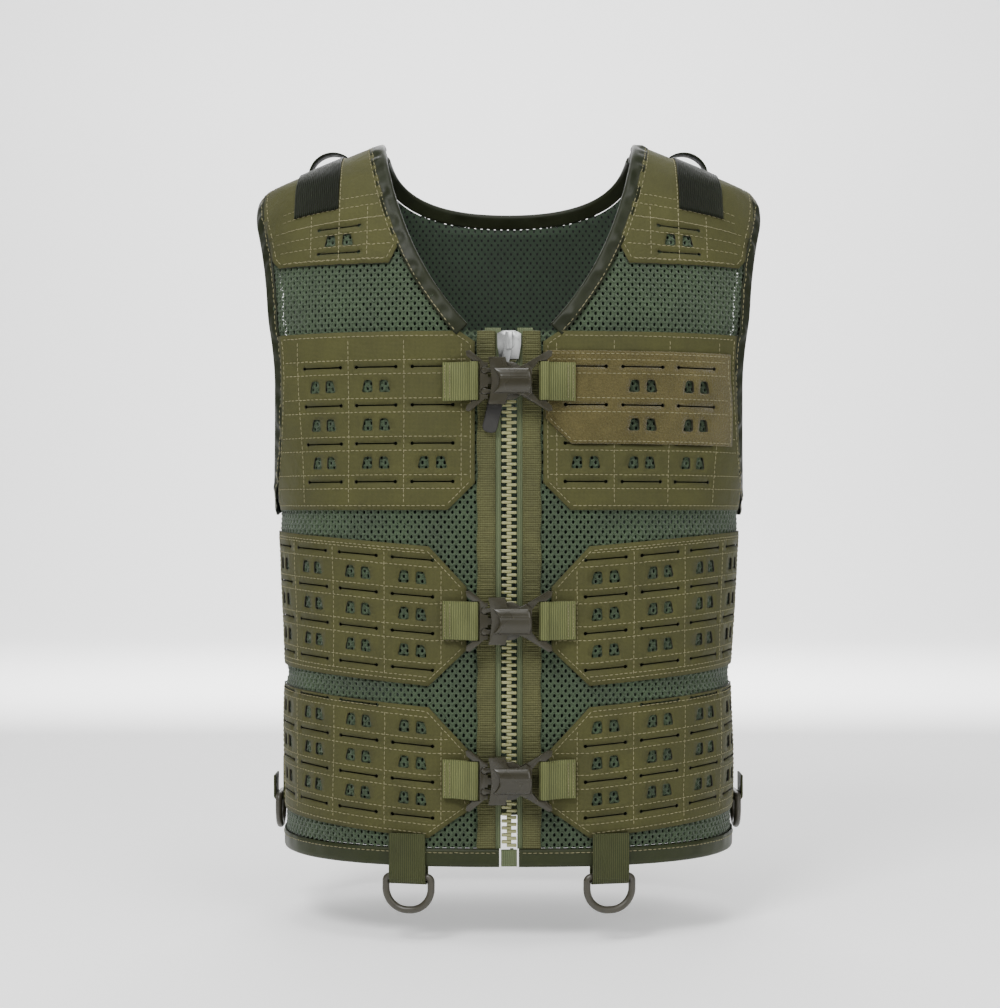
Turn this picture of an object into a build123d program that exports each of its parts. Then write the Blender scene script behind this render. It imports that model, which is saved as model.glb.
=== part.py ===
from build123d import *
import math
import os

os.makedirs("parts", exist_ok=True)

# A zip-fronted load vest: air-mesh base, laser-cut fabric panels, tape bindings,
# three side-release buckles, a moulded zip and four D-rings on its hem.
# Millimetres. +Z is up, -Y is the front, X = 0 is the zip. Z = 0 is the hem's lower edge,
# and the origin is the middle of the body opening at that height.

# ---------------------------------------------------------------- driving dimensions
# Overall form of the worn vest
WAIST_HALF_WIDTH = 155.0
CHEST_HALF_WIDTH = 184.0
HALF_DEPTH = 115.0
SHOULDER_HEIGHT = 498.0  # the straps' highest point, at the neck
NECK_HALF_WIDTH = 88.0
STRAP_WIDTH = 82.0
ROUNDNESS = 2.5  # exponent of the horizontal sections: 2 is an ellipse

# Cuts in the form
ZIP_TOP = 358.0
NECK_FRONT_HALF_WIDTH = 28.0  # half the neckline's flat bottom, at the zip
NECK_BACK_DROP = 39.0  # from the straps' top to the back neckline
ARMPIT_HEIGHT = 243.0
ARMHOLE_HALF_DEPTH = 68.0
ARMHOLE_TOP = 0.70  # its top's share of the way from the zip's top to the straps' top

# Layers, measured outwards from the inside of the air mesh
MESH_THICKNESS = 3.0
PANEL_THICKNESS = 1.2
PATCH_THICKNESS = 1.0
ELASTIC_THICKNESS = 1.2
LAYER_GAP = 0.3
BINDING_WIDTH = 9.0
BINDING_WALL = 0.8
HEM_HEIGHT = 12.0

# Panels, as rows from the hem upwards
PANEL_CHAMFER_INNER = 53.0  # where a chamfer meets the panel's top or bottom edge
PANEL_SIDE_RISE = 9.0  # how much the rows rise towards the sides
SIDE_GAP = 12.0  # bare mesh each side of the side seam
LOWER_PANEL = (19.0, 106.0)
LOWER_PANEL_EDGE = (38.5, 77.0)
LOWER_PANEL_INNER = 26.0
MID_PANEL = (120.0, 213.0)
MID_PANEL_EDGE = (144.0, 186.0)
MID_PANEL_INNER = 28.0
CHEST_PANEL = (237.0, 356.0)
CHEST_PANEL_INNER = 22.5
CHEST_PANEL_OUTER = 158.0
CHEST_CHAMFER = 18.0
SHOULDER_PANEL_BOTTOM = 402.0
SHOULDER_PANEL_CHAMFER = 10.0
BACK_UPPER_PANEL = (237.0, 440.0)

# Hook-and-loop patch on the wearer's left chest
PATCH_INNER = 24.0
PATCH_OUTER = 148.0
PATCH_HEIGHTS = (281.0, 343.0)
PATCH_CHAMFER = 17.0

# Shoulder elastic and its keeper
ELASTIC_WIDTH = 30.0
ELASTIC_BOTTOM = 440.0
KEEPER_HEIGHT = 9.0
KEEPER_DEPTH = 16.0
KEEPER_THICKNESS = 1.2
KEEPER_CLEARANCE = 1.7

# Zip
TEETH_HALF_WIDTH = 5.0
TOOTH_PITCH = 4.6
TOOTH_HEIGHT = 2.0
TOOTH_LAP = 1.6  # how far a tooth reaches past the middle
TEETH_LAYER = (0.5, 3.9)
ZIP_TAPE_LAYER = (1.7, 2.7)
ZIP_TAPE_OUTER = 16.0
PLACKET_INNER = 9.0
PLACKET_WIDTH = 12.0
SLIDER_HALF_WIDTH = 8.0
SLIDER_HEIGHT = 19.0
SLIDER_CENTRE = 346.5
SLIDER_PLATE = 1.4
ZIP_CLEARANCE = 0.3
CROWN_THICKNESS = 1.0
PULL_TAB_THICKNESS = 1.4
PULL_TAB_LENGTH = 20.0
PULL_TAB_WIDTH = 7.0
PULL_TAG_LENGTH = 40.0
PULL_TAG_WIDTH = 10.0
PULL_TAG_THICKNESS = 2.3
PULL_TILT = 13.0  # degrees that the pull hangs off to the wearer's right
RETAINER_HEIGHT = 11.0
RETAINER_WIDTH = 10.6
PIN_WIDTH = 2.4
PIN_HEIGHT = 9.0

# Side-release buckles
BUCKLE_HEIGHTS = (59.0, 164.0, 322.0)
BUCKLE_NAMES = ("bottom", "middle", "top")
BUCKLE_THICKNESS = 11.0
BUCKLE_STAND_OFF = 9.4  # from the inside of the mesh to the buckle's back
BUCKLE_WALL = 2.2
COLLAR_HALF_HEIGHT = 15.5
BARREL_LENGTH = 28.5
BARREL_MOUTH = -13.5
ARM_TIP = (28.5, 19.5)
ARM_WIDTH = 3.2
ARM_THICKNESS = 6.0
BAR_PLACE = 23.3
BAR_RADIUS = 1.8
TONGUE_HALF_HEIGHT = 2.2
PRONG_PIVOT = (-16.2, 7.0)
PRONG_KNUCKLE = 2.2
PRONG_TIP = 8.5
PRONG_HEAD_START = -2.0
PRONG_CLEARANCE = 0.3

# Webbing
WEBBING_WIDTH = 25.4
WEBBING_THICKNESS = 1.4
ANCHOR_OUTER = 44.0
ANCHOR_LENGTH = 7.0
ANCHOR_LAYER = 6.1
WEBBING_CLEARANCE = 0.3

# D-rings
RING_WIDTH = 36.0
RING_HEIGHT = 27.0
RING_WIRE = 4.9
FRONT_RING_PLACE = 67.0
FRONT_RING_TOP = -5.0
SIDE_RING_TOP = 34.0
SIDE_RING_BACK = 12.0  # how far behind the side seam the side rings hang
RING_WEBBING_TOP = 22.0
RING_WEBBING_CLEARANCE = 0.7
SIDE_WEBBING_TOP = 60.0

# How far cutting prisms reach, past every piece
REACH = 300.0

SHOULDER_OUTER = NECK_HALF_WIDTH + STRAP_WIDTH
SHOULDER_PANEL_INNER = NECK_HALF_WIDTH - 30.0  # where the panels stop on the back, short of the spine
MESH_LAYER = (0.0, MESH_THICKNESS)
PANEL_LAYER = (MESH_THICKNESS + LAYER_GAP, MESH_THICKNESS + LAYER_GAP + PANEL_THICKNESS)
BINDING_LAYER = (-BINDING_WALL, PANEL_LAYER[1] + 0.1)
PATCH_LAYER = (PANEL_LAYER[1] + LAYER_GAP, PANEL_LAYER[1] + LAYER_GAP + PATCH_THICKNESS)
ELASTIC_LAYER = (PANEL_LAYER[1] + LAYER_GAP, PANEL_LAYER[1] + LAYER_GAP + ELASTIC_THICKNESS)


# The horizontal sections that the torso is lofted through
SECTION_POINTS = 36
NECK_POINTS = 9
LOWER_SECTIONS = 14
UPPER_SECTIONS = 11

# ---------------------------------------------------------------- the torso's form
def upper_level(share):
    """A height between the zip's top (0) and the straps' top (1)."""
    return ZIP_TOP + 4.0 + share * (SHOULDER_HEIGHT - ZIP_TOP - 4.0)


WIDTH_KEYS = [
    (-40.0, WAIST_HALF_WIDTH),
    (LOWER_PANEL[1], WAIST_HALF_WIDTH),
    (ARMPIT_HEIGHT, WAIST_HALF_WIDTH + 7.0),
    (ARMPIT_HEIGHT + 77.0, CHEST_HALF_WIDTH - 8.0),
    (upper_level(0.2), CHEST_HALF_WIDTH),
    (upper_level(0.5), CHEST_HALF_WIDTH - 2.0),
    (upper_level(0.68), CHEST_HALF_WIDTH - 11.0),
    (upper_level(0.79), SHOULDER_OUTER - 26.0),
    (upper_level(0.9), NECK_HALF_WIDTH + 20.0),
    (upper_level(1.0), NECK_HALF_WIDTH - 14.0),
    (SHOULDER_HEIGHT + 12.0, NECK_HALF_WIDTH - 24.0),
    (SHOULDER_HEIGHT + 24.0, NECK_HALF_WIDTH - 28.0),
]
DEPTH_KEYS = [
    (-40.0, HALF_DEPTH),
    (upper_level(0.0), HALF_DEPTH),
    (upper_level(0.2), HALF_DEPTH - 5.0),
    (upper_level(0.5), HALF_DEPTH - 16.0),
    (upper_level(0.68), HALF_DEPTH - 26.0),
    (upper_level(0.79), HALF_DEPTH - 33.0),
    (upper_level(0.9), HALF_DEPTH - 41.0),
    (upper_level(1.0), HALF_DEPTH - 49.0),
    (SHOULDER_HEIGHT + 12.0, HALF_DEPTH - 54.0),
    (SHOULDER_HEIGHT + 24.0, HALF_DEPTH - 57.0),
]


def eased(keys, height):
    """A smooth curve through the keys that never overshoots them (monotone cubic)."""
    if height <= keys[0][0]:
        return keys[0][1]
    if height >= keys[-1][0]:
        return keys[-1][1]
    steps = [b[0] - a[0] for a, b in zip(keys, keys[1:])]
    slopes = [(b[1] - a[1]) / s for a, b, s in zip(keys, keys[1:], steps)]
    tangents = [slopes[0]]
    for before, after, left, right in zip(slopes, slopes[1:], steps, steps[1:]):
        if before * after <= 0:
            tangents.append(0.0)
        else:
            near, far = 2 * right + left, right + 2 * left
            tangents.append((near + far) / (near / before + far / after))
    tangents.append(slopes[-1])
    k = max(i for i in range(len(steps)) if keys[i][0] <= height)
    u = (height - keys[k][0]) / steps[k]
    start, end = keys[k][1], keys[k + 1][1]
    return (
        (1 + 2 * u) * (1 - u) ** 2 * start
        + u * (1 - u) ** 2 * steps[k] * tangents[k]
        + u * u * (3 - 2 * u) * end
        + u * u * (u - 1) * steps[k] * tangents[k + 1]
    )


def half_width(height):
    return eased(WIDTH_KEYS, height)


def half_depth(height):
    return eased(DEPTH_KEYS, height)


def lean(curve, height):
    """The sine and cosine of how far a profile's outward normal tilts upwards."""
    slope = (curve(height + 1.0) - curve(height - 1.0)) / 2.0
    length = math.hypot(1.0, slope)
    return -slope / length, 1.0 / length


def torso_section(height, layer):
    """The horizontal outline of the torso, grown by a layer's distance along its normal."""
    side_sine, side_cosine = lean(half_width, height)
    front_sine, front_cosine = lean(half_depth, height)
    wide = half_width(height) + layer * side_cosine
    deep = half_depth(height) + layer * (1.0 - front_sine * side_sine) / front_cosine
    points = []
    for step in range(SECTION_POINTS):
        turn = 2.0 * math.pi * step / SECTION_POINTS
        reach = (abs(math.cos(turn)) ** ROUNDNESS + abs(math.sin(turn)) ** ROUNDNESS) ** (-1 / ROUNDNESS)
        points.append(Vector(
            wide * reach * math.cos(turn), deep * reach * math.sin(turn), height + layer * side_sine
        ))
    even = [step / SECTION_POINTS for step in range(SECTION_POINTS + 1)]
    return Wire([Edge.make_spline(points, periodic=True, parameters=even)])


TORSOS = {}


def section_levels():
    """Even steps up to the zip's top, then finer ones over the shoulders."""
    low = -30.0
    step = (upper_level(0.0) - low) / LOWER_SECTIONS
    lower = [low + n * step for n in range(LOWER_SECTIONS)]
    fine = (SHOULDER_HEIGHT + 16.0 - upper_level(0.0)) / UPPER_SECTIONS
    return lower + [upper_level(0.0) + n * fine for n in range(UPPER_SECTIONS + 1)]


def torso(layer):
    """The solid inside a layer's surface, kept so that each is made once."""
    if layer not in TORSOS:
        TORSOS[layer] = Solid.make_loft([torso_section(level, layer) for level in section_levels()])
    return TORSOS[layer]


def surface_depth(x, height, layer):
    """How far in front of X = 0's plane the layer's surface lies at a place across the front."""
    side_sine, side_cosine = lean(half_width, height)
    front_sine, front_cosine = lean(half_depth, height)
    wide = half_width(height) + layer * side_cosine
    deep = half_depth(height) + layer * (1.0 - front_sine * side_sine) / front_cosine
    return deep * (1.0 - min(1.0, abs(x) / wide) ** ROUNDNESS) ** (1 / ROUNDNESS)


def crest_height(x):
    """The height of the shoulder's ridge, where the torso is as wide as x."""
    low, high = upper_level(0.5), SHOULDER_HEIGHT + 20.0
    for _ in range(40):
        middle = (low + high) / 2.0
        low, high = (middle, high) if half_width(middle) > x else (low, middle)
    return low


# ---------------------------------------------------------------- regions seen from the front
def front_prism(face, start=0.0):
    return extrude(Plane.XZ.offset(start) * face, REACH)


def back_prism(face, start=0.0):
    return extrude(Plane.XZ.offset(-start) * face, -REACH)


def outline(points):
    return make_face(Polyline(*points, close=True))


def bezier(controls, share):
    """A point on a cubic curve, and the curve's unit direction there."""
    rest = 1.0 - share
    weights = (rest ** 3, 3 * share * rest ** 2, 3 * share ** 2 * rest, share ** 3)
    point = [sum(w * c[axis] for w, c in zip(weights, controls)) for axis in (0, 1)]
    slopes = (-3 * rest ** 2, 3 * rest ** 2 - 6 * share * rest, 6 * share * rest - 3 * share ** 2, 3 * share ** 2)
    run, climb = [sum(w * c[axis] for w, c in zip(slopes, controls)) for axis in (0, 1)]
    length = math.hypot(run, climb)
    return point, (run / length, climb / length)


def neck_controls(back):
    """The right half of a neckline, from its lowest point to the strap's ridge."""
    side, foot = NECK_HALF_WIDTH, NECK_FRONT_HALF_WIDTH
    if back:
        low = SHOULDER_HEIGHT - NECK_BACK_DROP
        return [(0, low), (0.6 * side, low), (side - 2.0, low + 0.3 * NECK_BACK_DROP), (side, SHOULDER_HEIGHT)]
    low = ZIP_TOP + 2.0
    rise = SHOULDER_HEIGHT - low
    return [
        (foot, low),
        (foot + 0.57 * (side - foot), low + 0.25 * rise),
        (side - 0.14 * (side - foot), low + 0.6 * rise),
        (side, SHOULDER_HEIGHT),
    ]


def neck_face(grow, back):
    """The neck opening seen from the front, larger by grow all round, as a region around X = 0."""
    controls = neck_controls(back)
    points = []
    for step in range(NECK_POINTS):
        (x, z), (run, climb) = bezier(controls, step / (NECK_POINTS - 1))
        points.append((x + grow * climb, z - grow * run))
    top = SHOULDER_HEIGHT + 60.0
    bottom = controls[0][1] - grow
    (x, z), (run, climb) = points[0], bezier(controls, 0.0)[1]
    start = (x, z) if back else (x - (z - bottom) * run / climb, bottom)
    half = Spline(*points)
    if math.dist(start, (x, z)) > 0.01:
        half += Line(start, (x, z))
    half += Line(points[-1], (points[-1][0], top)) + Line((points[-1][0], top), (0, top))
    half += Line((0, top), (0, bottom))
    if start[0] > 0.01:
        half += Line((0, bottom), start)
    half = make_face(half)
    return half + mirror(half, Plane.YZ)


def armhole(grow):
    """The right-hand armhole as a prism along X, larger by grow all round."""
    top = upper_level(ARMHOLE_TOP)
    middle = (top + ARMPIT_HEIGHT) / 2.0
    oval = Ellipse(ARMHOLE_HALF_DEPTH + grow, (top - ARMPIT_HEIGHT) / 2.0 + grow)
    return extrude(Plane.YZ.offset(NECK_HALF_WIDTH + 10.0) * (Pos(0, middle) * oval), REACH)


def left_of(solid):
    return mirror(solid, Plane.YZ)


NECK_FRONT = neck_face(0.0, back=False)
NECK_BACK = neck_face(0.0, back=True)
NECK_FRONT_BOUND = neck_face(BINDING_WIDTH, back=False)
NECK_BACK_BOUND = neck_face(BINDING_WIDTH, back=True)
CLOTH_NECK_FRONT = front_prism(neck_face(BINDING_WIDTH + LAYER_GAP, back=False))
CLOTH_NECK_BACK = back_prism(neck_face(BINDING_WIDTH + LAYER_GAP, back=True))
CLOTH_ARMHOLE = armhole(BINDING_WIDTH + LAYER_GAP)


def cloth(layer, region):
    """The stretch of a layer that lies inside a region."""
    return (region & torso(layer[1])) - torso(layer[0])


def side_of(x, height_at_inner):
    """A row's height at a place across the front: rows rise towards the side."""
    share = (x - PANEL_CHAMFER_INNER) / (WAIST_HALF_WIDTH - PANEL_CHAMFER_INNER)
    return height_at_inner + PANEL_SIDE_RISE * share


# ---------------------------------------------------------------- cloth pieces
def mesh_front():
    low = HEM_HEIGHT + LAYER_GAP
    face = outline([(ZIP_TAPE_OUTER + 0.5, low), (REACH, low), (REACH, REACH * 2), (ZIP_TAPE_OUTER + 0.5, REACH * 2)])
    region = front_prism(face, LAYER_GAP) - CLOTH_NECK_FRONT - CLOTH_ARMHOLE
    return cloth(MESH_LAYER, region)


def mesh_back():
    low = HEM_HEIGHT + LAYER_GAP
    face = outline([(-REACH, low), (REACH, low), (REACH, REACH * 2), (-REACH, REACH * 2)])
    region = back_prism(face) - CLOTH_NECK_BACK - CLOTH_ARMHOLE - left_of(CLOTH_ARMHOLE)
    return cloth(MESH_LAYER, region)


def hexagon_panel(rows, edge, inner):
    """A front panel whose inner corners are cut off, and which runs round to the side."""
    far = WAIST_HALF_WIDTH + 20.0
    points = [
        (PANEL_CHAMFER_INNER, rows[0]),
        (far, side_of(far, rows[0])),
        (far, side_of(far, rows[1])),
        (PANEL_CHAMFER_INNER, rows[1]),
        (inner, edge[1]),
        (inner, edge[0]),
    ]
    return cloth(PANEL_LAYER, front_prism(outline(points), SIDE_GAP))


def chest_panel():
    low, high = CHEST_PANEL
    inner, outer, cut = CHEST_PANEL_INNER, CHEST_PANEL_OUTER, CHEST_CHAMFER
    points = [
        (inner + cut, low),
        (outer, low),
        (outer, high),
        (inner + 0.6 * cut, high),
        (inner, high - 0.4 * cut),
        (inner, low + cut),
    ]
    return cloth(PANEL_LAYER, front_prism(outline(points), SIDE_GAP) - CLOTH_ARMHOLE - CLOTH_NECK_FRONT)


def loop_patch():
    low, high = PATCH_HEIGHTS
    points = [
        (PATCH_INNER + PATCH_CHAMFER, low),
        (PATCH_OUTER, low),
        (PATCH_OUTER, high),
        (PATCH_INNER, high),
        (PATCH_INNER, low + PATCH_CHAMFER),
    ]
    return cloth(PATCH_LAYER, front_prism(outline(points), SIDE_GAP) - CLOTH_ARMHOLE - CLOTH_NECK_FRONT)


def over_shoulder(layer, inner, outer, bottom, cut):
    """A strip that runs from the chest over the shoulder and down the back to the same height."""
    top = REACH * 2
    points = [(inner, bottom + cut), (inner + cut, bottom), (outer - cut, bottom), (outer, bottom + cut)]
    face = outline(points + [(outer, top), (inner, top)])
    front = front_prism(face) - CLOTH_NECK_FRONT
    back = back_prism(face) - CLOTH_NECK_BACK
    return cloth(layer, (front + back) - CLOTH_ARMHOLE)


def back_panel(rows):
    """A back panel, cut off at its corners, from side to side."""
    wide = WAIST_HALF_WIDTH + 20.0
    points = [(-wide, rows[0]), (wide, rows[0]), (wide, rows[1]), (-wide, rows[1])]
    return cloth(PANEL_LAYER, back_prism(outline(points), SIDE_GAP))


def back_upper_panel():
    low, high = BACK_UPPER_PANEL
    wide, cut = CHEST_PANEL_OUTER - 20.0, CHEST_CHAMFER
    points = [
        (-wide + cut, low), (wide - cut, low), (wide, low + cut), (wide, SHOULDER_PANEL_BOTTOM - 8.0),
        (SHOULDER_PANEL_INNER, high), (-SHOULDER_PANEL_INNER, high),
        (-wide, SHOULDER_PANEL_BOTTOM - 8.0), (-wide, low + cut),
    ]
    region = back_prism(outline(points), SIDE_GAP) - CLOTH_NECK_BACK - CLOTH_ARMHOLE - left_of(CLOTH_ARMHOLE)
    edge, floor = SHOULDER_PANEL_INNER - LAYER_GAP, SHOULDER_PANEL_BOTTOM - LAYER_GAP
    shoulder = outline([(edge, floor), (REACH, floor), (REACH, REACH * 2), (edge, REACH * 2)])
    region = region - back_prism(shoulder) - left_of(back_prism(shoulder))
    return cloth(PANEL_LAYER, region)


def neck_binding():
    front = front_prism(NECK_FRONT_BOUND - NECK_FRONT)
    gate = NECK_FRONT_HALF_WIDTH - 5.0
    front = front - front_prism(outline([(-gate, 0), (gate, 0), (gate, ZIP_TOP + 60), (-gate, ZIP_TOP + 60)]))
    back = back_prism(NECK_BACK_BOUND - NECK_BACK)
    return cloth(BINDING_LAYER, front + back)


def armhole_binding():
    return cloth(BINDING_LAYER, armhole(BINDING_WIDTH) - armhole(0.0))


def hem_binding():
    inner = TEETH_HALF_WIDTH + 1.5
    side = outline([(inner, 0), (REACH, 0), (REACH, HEM_HEIGHT), (inner, HEM_HEIGHT)])
    whole = outline([(-REACH, 0), (REACH, 0), (REACH, HEM_HEIGHT), (-REACH, HEM_HEIGHT)])
    right = front_prism(side)
    return cloth(BINDING_LAYER, right + left_of(right) + back_prism(whole))


def centre_strip(layer, inner, outer, top):
    """A flat tape that runs up beside the zip."""
    low = HEM_HEIGHT + LAYER_GAP
    return cloth(layer, front_prism(outline([(inner, low), (outer, low), (outer, top), (inner, top)])))


def keeper():
    """The elastic loop that stands off the shoulder elastic at the strap's ridge."""
    middle = (NECK_HALF_WIDTH + SHOULDER_OUTER) / 2.0
    half = ELASTIC_WIDTH / 2.0 - 1.0
    lift = ELASTIC_LAYER[1] + KEEPER_CLEARANCE
    ends = [(x, crest_height(x) + lift) for x in (middle - half, middle + half)]
    peak = (middle, (ends[0][1] + ends[1][1]) / 2.0 + KEEPER_HEIGHT)
    rim = ThreePointArc(ends[0], peak, ends[1])
    lower = ThreePointArc(
        (ends[0][0] + KEEPER_THICKNESS, ends[0][1]),
        (peak[0], peak[1] - KEEPER_THICKNESS),
        (ends[1][0] - KEEPER_THICKNESS, ends[1][1]),
    )
    face = make_face(rim + lower + Line(rim @ 0, lower @ 0) + Line(rim @ 1, lower @ 1))
    return Pos(0, KEEPER_DEPTH / 2.0, 0) * extrude(Plane.XZ * face, KEEPER_DEPTH)


# ---------------------------------------------------------------- zip
ZIP_FRONT = HALF_DEPTH  # the mesh's inside at the zip, in front of the middle plane


def zip_block(x_range, layer, z_range):
    """A plain block at the zip, given by its sides, its layer and its heights."""
    size = (x_range[1] - x_range[0], layer[1] - layer[0], z_range[1] - z_range[0])
    middle = (sum(x_range) / 2.0, -ZIP_FRONT - sum(layer) / 2.0, sum(z_range) / 2.0)
    return Pos(*middle) * Box(*size)


TEETH_BOTTOM = RETAINER_HEIGHT + 2.5
TEETH_TOP = SLIDER_CENTRE + 1.5


def teeth(side):
    """One row of moulded teeth; the other row sits half a pitch higher."""
    first = TEETH_BOTTOM + (0.0 if side > 0 else TOOTH_PITCH / 2.0)
    count = int((TEETH_TOP - first - TOOTH_HEIGHT) / TOOTH_PITCH) + 1
    x_range = (-TOOTH_LAP, TEETH_HALF_WIDTH) if side > 0 else (-TEETH_HALF_WIDTH, TOOTH_LAP)
    starts = [first + n * TOOTH_PITCH for n in range(count)]
    return Compound([zip_block(x_range, TEETH_LAYER, (z, z + TOOTH_HEIGHT)).solid() for z in starts])


def slider():
    """Two plates joined by the wedge that parts the teeth, with flanges and a hooked crown."""
    half, middle = SLIDER_HALF_WIDTH, SLIDER_CENTRE
    low, high = middle - SLIDER_HEIGHT / 2.0, middle + SLIDER_HEIGHT / 2.0
    front = TEETH_LAYER[1] + ZIP_CLEARANCE
    back = TEETH_LAYER[0] - ZIP_CLEARANCE
    plate = outline([
        (-0.8 * half, low), (0.8 * half, low), (half, middle), (half, high - 2.0), (0.5 * half, high),
        (-0.5 * half, high), (-half, high - 2.0), (-half, middle),
    ])
    body = extrude(Plane.XZ.offset(ZIP_FRONT + front) * plate, SLIDER_PLATE)
    body += extrude(Plane.XZ.offset(ZIP_FRONT + back - SLIDER_PLATE) * plate, SLIDER_PLATE)
    body += zip_block((-2.2, 2.2), (back, front), (high - 5.0, high))
    for side in (-1, 1):
        edge = sorted((side * (TEETH_HALF_WIDTH + ZIP_CLEARANCE), side * 0.8 * half))
        body += zip_block(edge, (ZIP_TAPE_LAYER[1] + ZIP_CLEARANCE, front), (low, high - 4.0))
        body += zip_block(edge, (back, ZIP_TAPE_LAYER[0] - ZIP_CLEARANCE), (low, high - 4.0))
    crown_back = front + SLIDER_PLATE + 2 * ZIP_CLEARANCE + PULL_TAB_THICKNESS
    body += zip_block((-2.0, 2.0), (front + SLIDER_PLATE, crown_back + CROWN_THICKNESS), (high - 4.0, high - 1.0))
    body += zip_block((-2.0, 2.0), (crown_back, crown_back + CROWN_THICKNESS), (middle - 3.0, high - 4.0))
    return body


PULL_PIVOT = SLIDER_CENTRE + 0.5
PULL_LAYER = TEETH_LAYER[1] + 2 * ZIP_CLEARANCE + SLIDER_PLATE


def hung_from_pivot(solid):
    """Turns a piece drawn hanging straight down to the pull's rest angle."""
    pivot = Pos(0, 0, PULL_PIVOT)
    return pivot * Rot(0, PULL_TILT, 0) * pivot.inverse() * solid


def pull_tab():
    """The slim metal tab: a round eye and a straight tongue."""
    eye = Pos(0, PULL_PIVOT) * Circle(PULL_TAB_WIDTH / 2.0)
    tongue = Pos(0, PULL_PIVOT - PULL_TAB_LENGTH / 2.0) * Rectangle(PULL_TAB_WIDTH - 1.5, PULL_TAB_LENGTH)
    return hung_from_pivot(extrude(Plane.XZ.offset(ZIP_FRONT + PULL_LAYER) * (eye + tongue), PULL_TAB_THICKNESS))


def pull_tag():
    """The rubber grip that carries on below the tab."""
    top = PULL_PIVOT - PULL_TAB_LENGTH - 0.2
    grip = Pos(0, top - PULL_TAG_LENGTH / 2.0) * RectangleRounded(PULL_TAG_WIDTH, PULL_TAG_LENGTH, 4.0)
    return hung_from_pivot(
        extrude(Plane.XZ.offset(ZIP_FRONT + PULL_LAYER - 0.2) * grip, PULL_TAG_THICKNESS)
    )


def retainer_box():
    """The square box that the insertion pin pushes into."""
    half = RETAINER_WIDTH / 2.0
    box = zip_block((-half, half), TEETH_LAYER, (0.5, 0.5 + RETAINER_HEIGHT))
    slot = PIN_WIDTH + 2 * ZIP_CLEARANCE
    well = zip_block((ZIP_CLEARANCE, ZIP_CLEARANCE + slot), (TEETH_LAYER[0] + 0.8, TEETH_LAYER[1] - 0.8), (3.0, 30.0))
    return box - well


def insertion_pin():
    start = 2 * ZIP_CLEARANCE
    layer = (TEETH_LAYER[0] + 0.8 + ZIP_CLEARANCE, TEETH_LAYER[1] - 0.8 - ZIP_CLEARANCE)
    return zip_block((start, start + PIN_WIDTH), layer, (3.5, 3.5 + PIN_HEIGHT))


# ---------------------------------------------------------------- buckles
BUCKLE_MIDDLE = ZIP_FRONT + BUCKLE_STAND_OFF + BUCKLE_THICKNESS / 2.0


def slab(face, low, high):
    """A face seen from the front, thickened between two depths in the buckle's own frame."""
    return extrude(Plane.XZ.offset(low) * face, high - low)


def both_ways(face):
    return face + mirror(face, Plane.XZ)


def arm(root_x, side):
    """A splayed arm from the body's corner to its tip, with a cut-out beside its root."""
    tip_x, tip_z = ARM_TIP
    points = [
        (side * root_x, 6.0),
        (side * root_x, 11.5),
        (side * (tip_x - 2.6), tip_z + 0.6),
        (side * tip_x, tip_z),
        (side * (tip_x - 0.6), tip_z - ARM_WIDTH),
        (side * (BAR_PLACE + 0.6), WEBBING_WIDTH / 2.0 + 0.6),
        (side * (BAR_PLACE - 3.8), WEBBING_WIDTH / 2.0 + 0.4),
        (side * (root_x + 2.2), 6.0),
    ]
    return outline(points)


def arms_and_bar(root_x, side):
    """Both arms of one half and the bar that its webbing goes round."""
    face = arm(root_x, side)
    arms = slab(face, -ARM_THICKNESS / 2.0, ARM_THICKNESS / 2.0)
    arms += mirror(arms, Plane.XY)
    bar = Cylinder(BAR_RADIUS, WEBBING_WIDTH + 3.0)
    return arms + Pos(side * BAR_PLACE, 0, 0) * bar


def buckle_female():
    """The socket: two plates, a collar at its mouth, open sides, an end block and two arms."""
    half = BUCKLE_THICKNESS / 2.0
    mouth = BARREL_MOUTH
    end = mouth + BARREL_LENGTH
    upper = Spline((-1.0, 9.6), (4.0, 8.7), (11.0, 11.2))
    edge = Line((0, 0), (mouth + 2.0, 0)) + Spline((mouth + 2.0, 0), (mouth + 1.2, 8.0), (mouth, COLLAR_HALF_HEIGHT))
    edge += Line((mouth, COLLAR_HALF_HEIGHT), (-2.5, COLLAR_HALF_HEIGHT)) + Line((-2.5, COLLAR_HALF_HEIGHT), (-1.0, 9.6))
    edge += upper + Line((11.0, 11.2), (end, 8.0)) + Line((end, 8.0), (end, 0)) + Line((end, 0), (0, 0))
    plate = make_face(edge)
    plate += mirror(plate, Plane.XZ)
    body = slab(plate, half - BUCKLE_WALL, half) + slab(plate, -half, -half + BUCKLE_WALL)
    collar = Pos((mouth - 2.5) / 2.0, COLLAR_HALF_HEIGHT - 1.1) * Rectangle(-2.5 - mouth, 2.2)
    body += slab(collar, -half, half) + slab(mirror(collar, Plane.XZ), -half, half)
    block = Pos(end - 2.0, 0) * Rectangle(4.0, 16.0)
    body += slab(block, -half, half)
    body += arms_and_bar(end - 3.5, 1)
    return body


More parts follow.
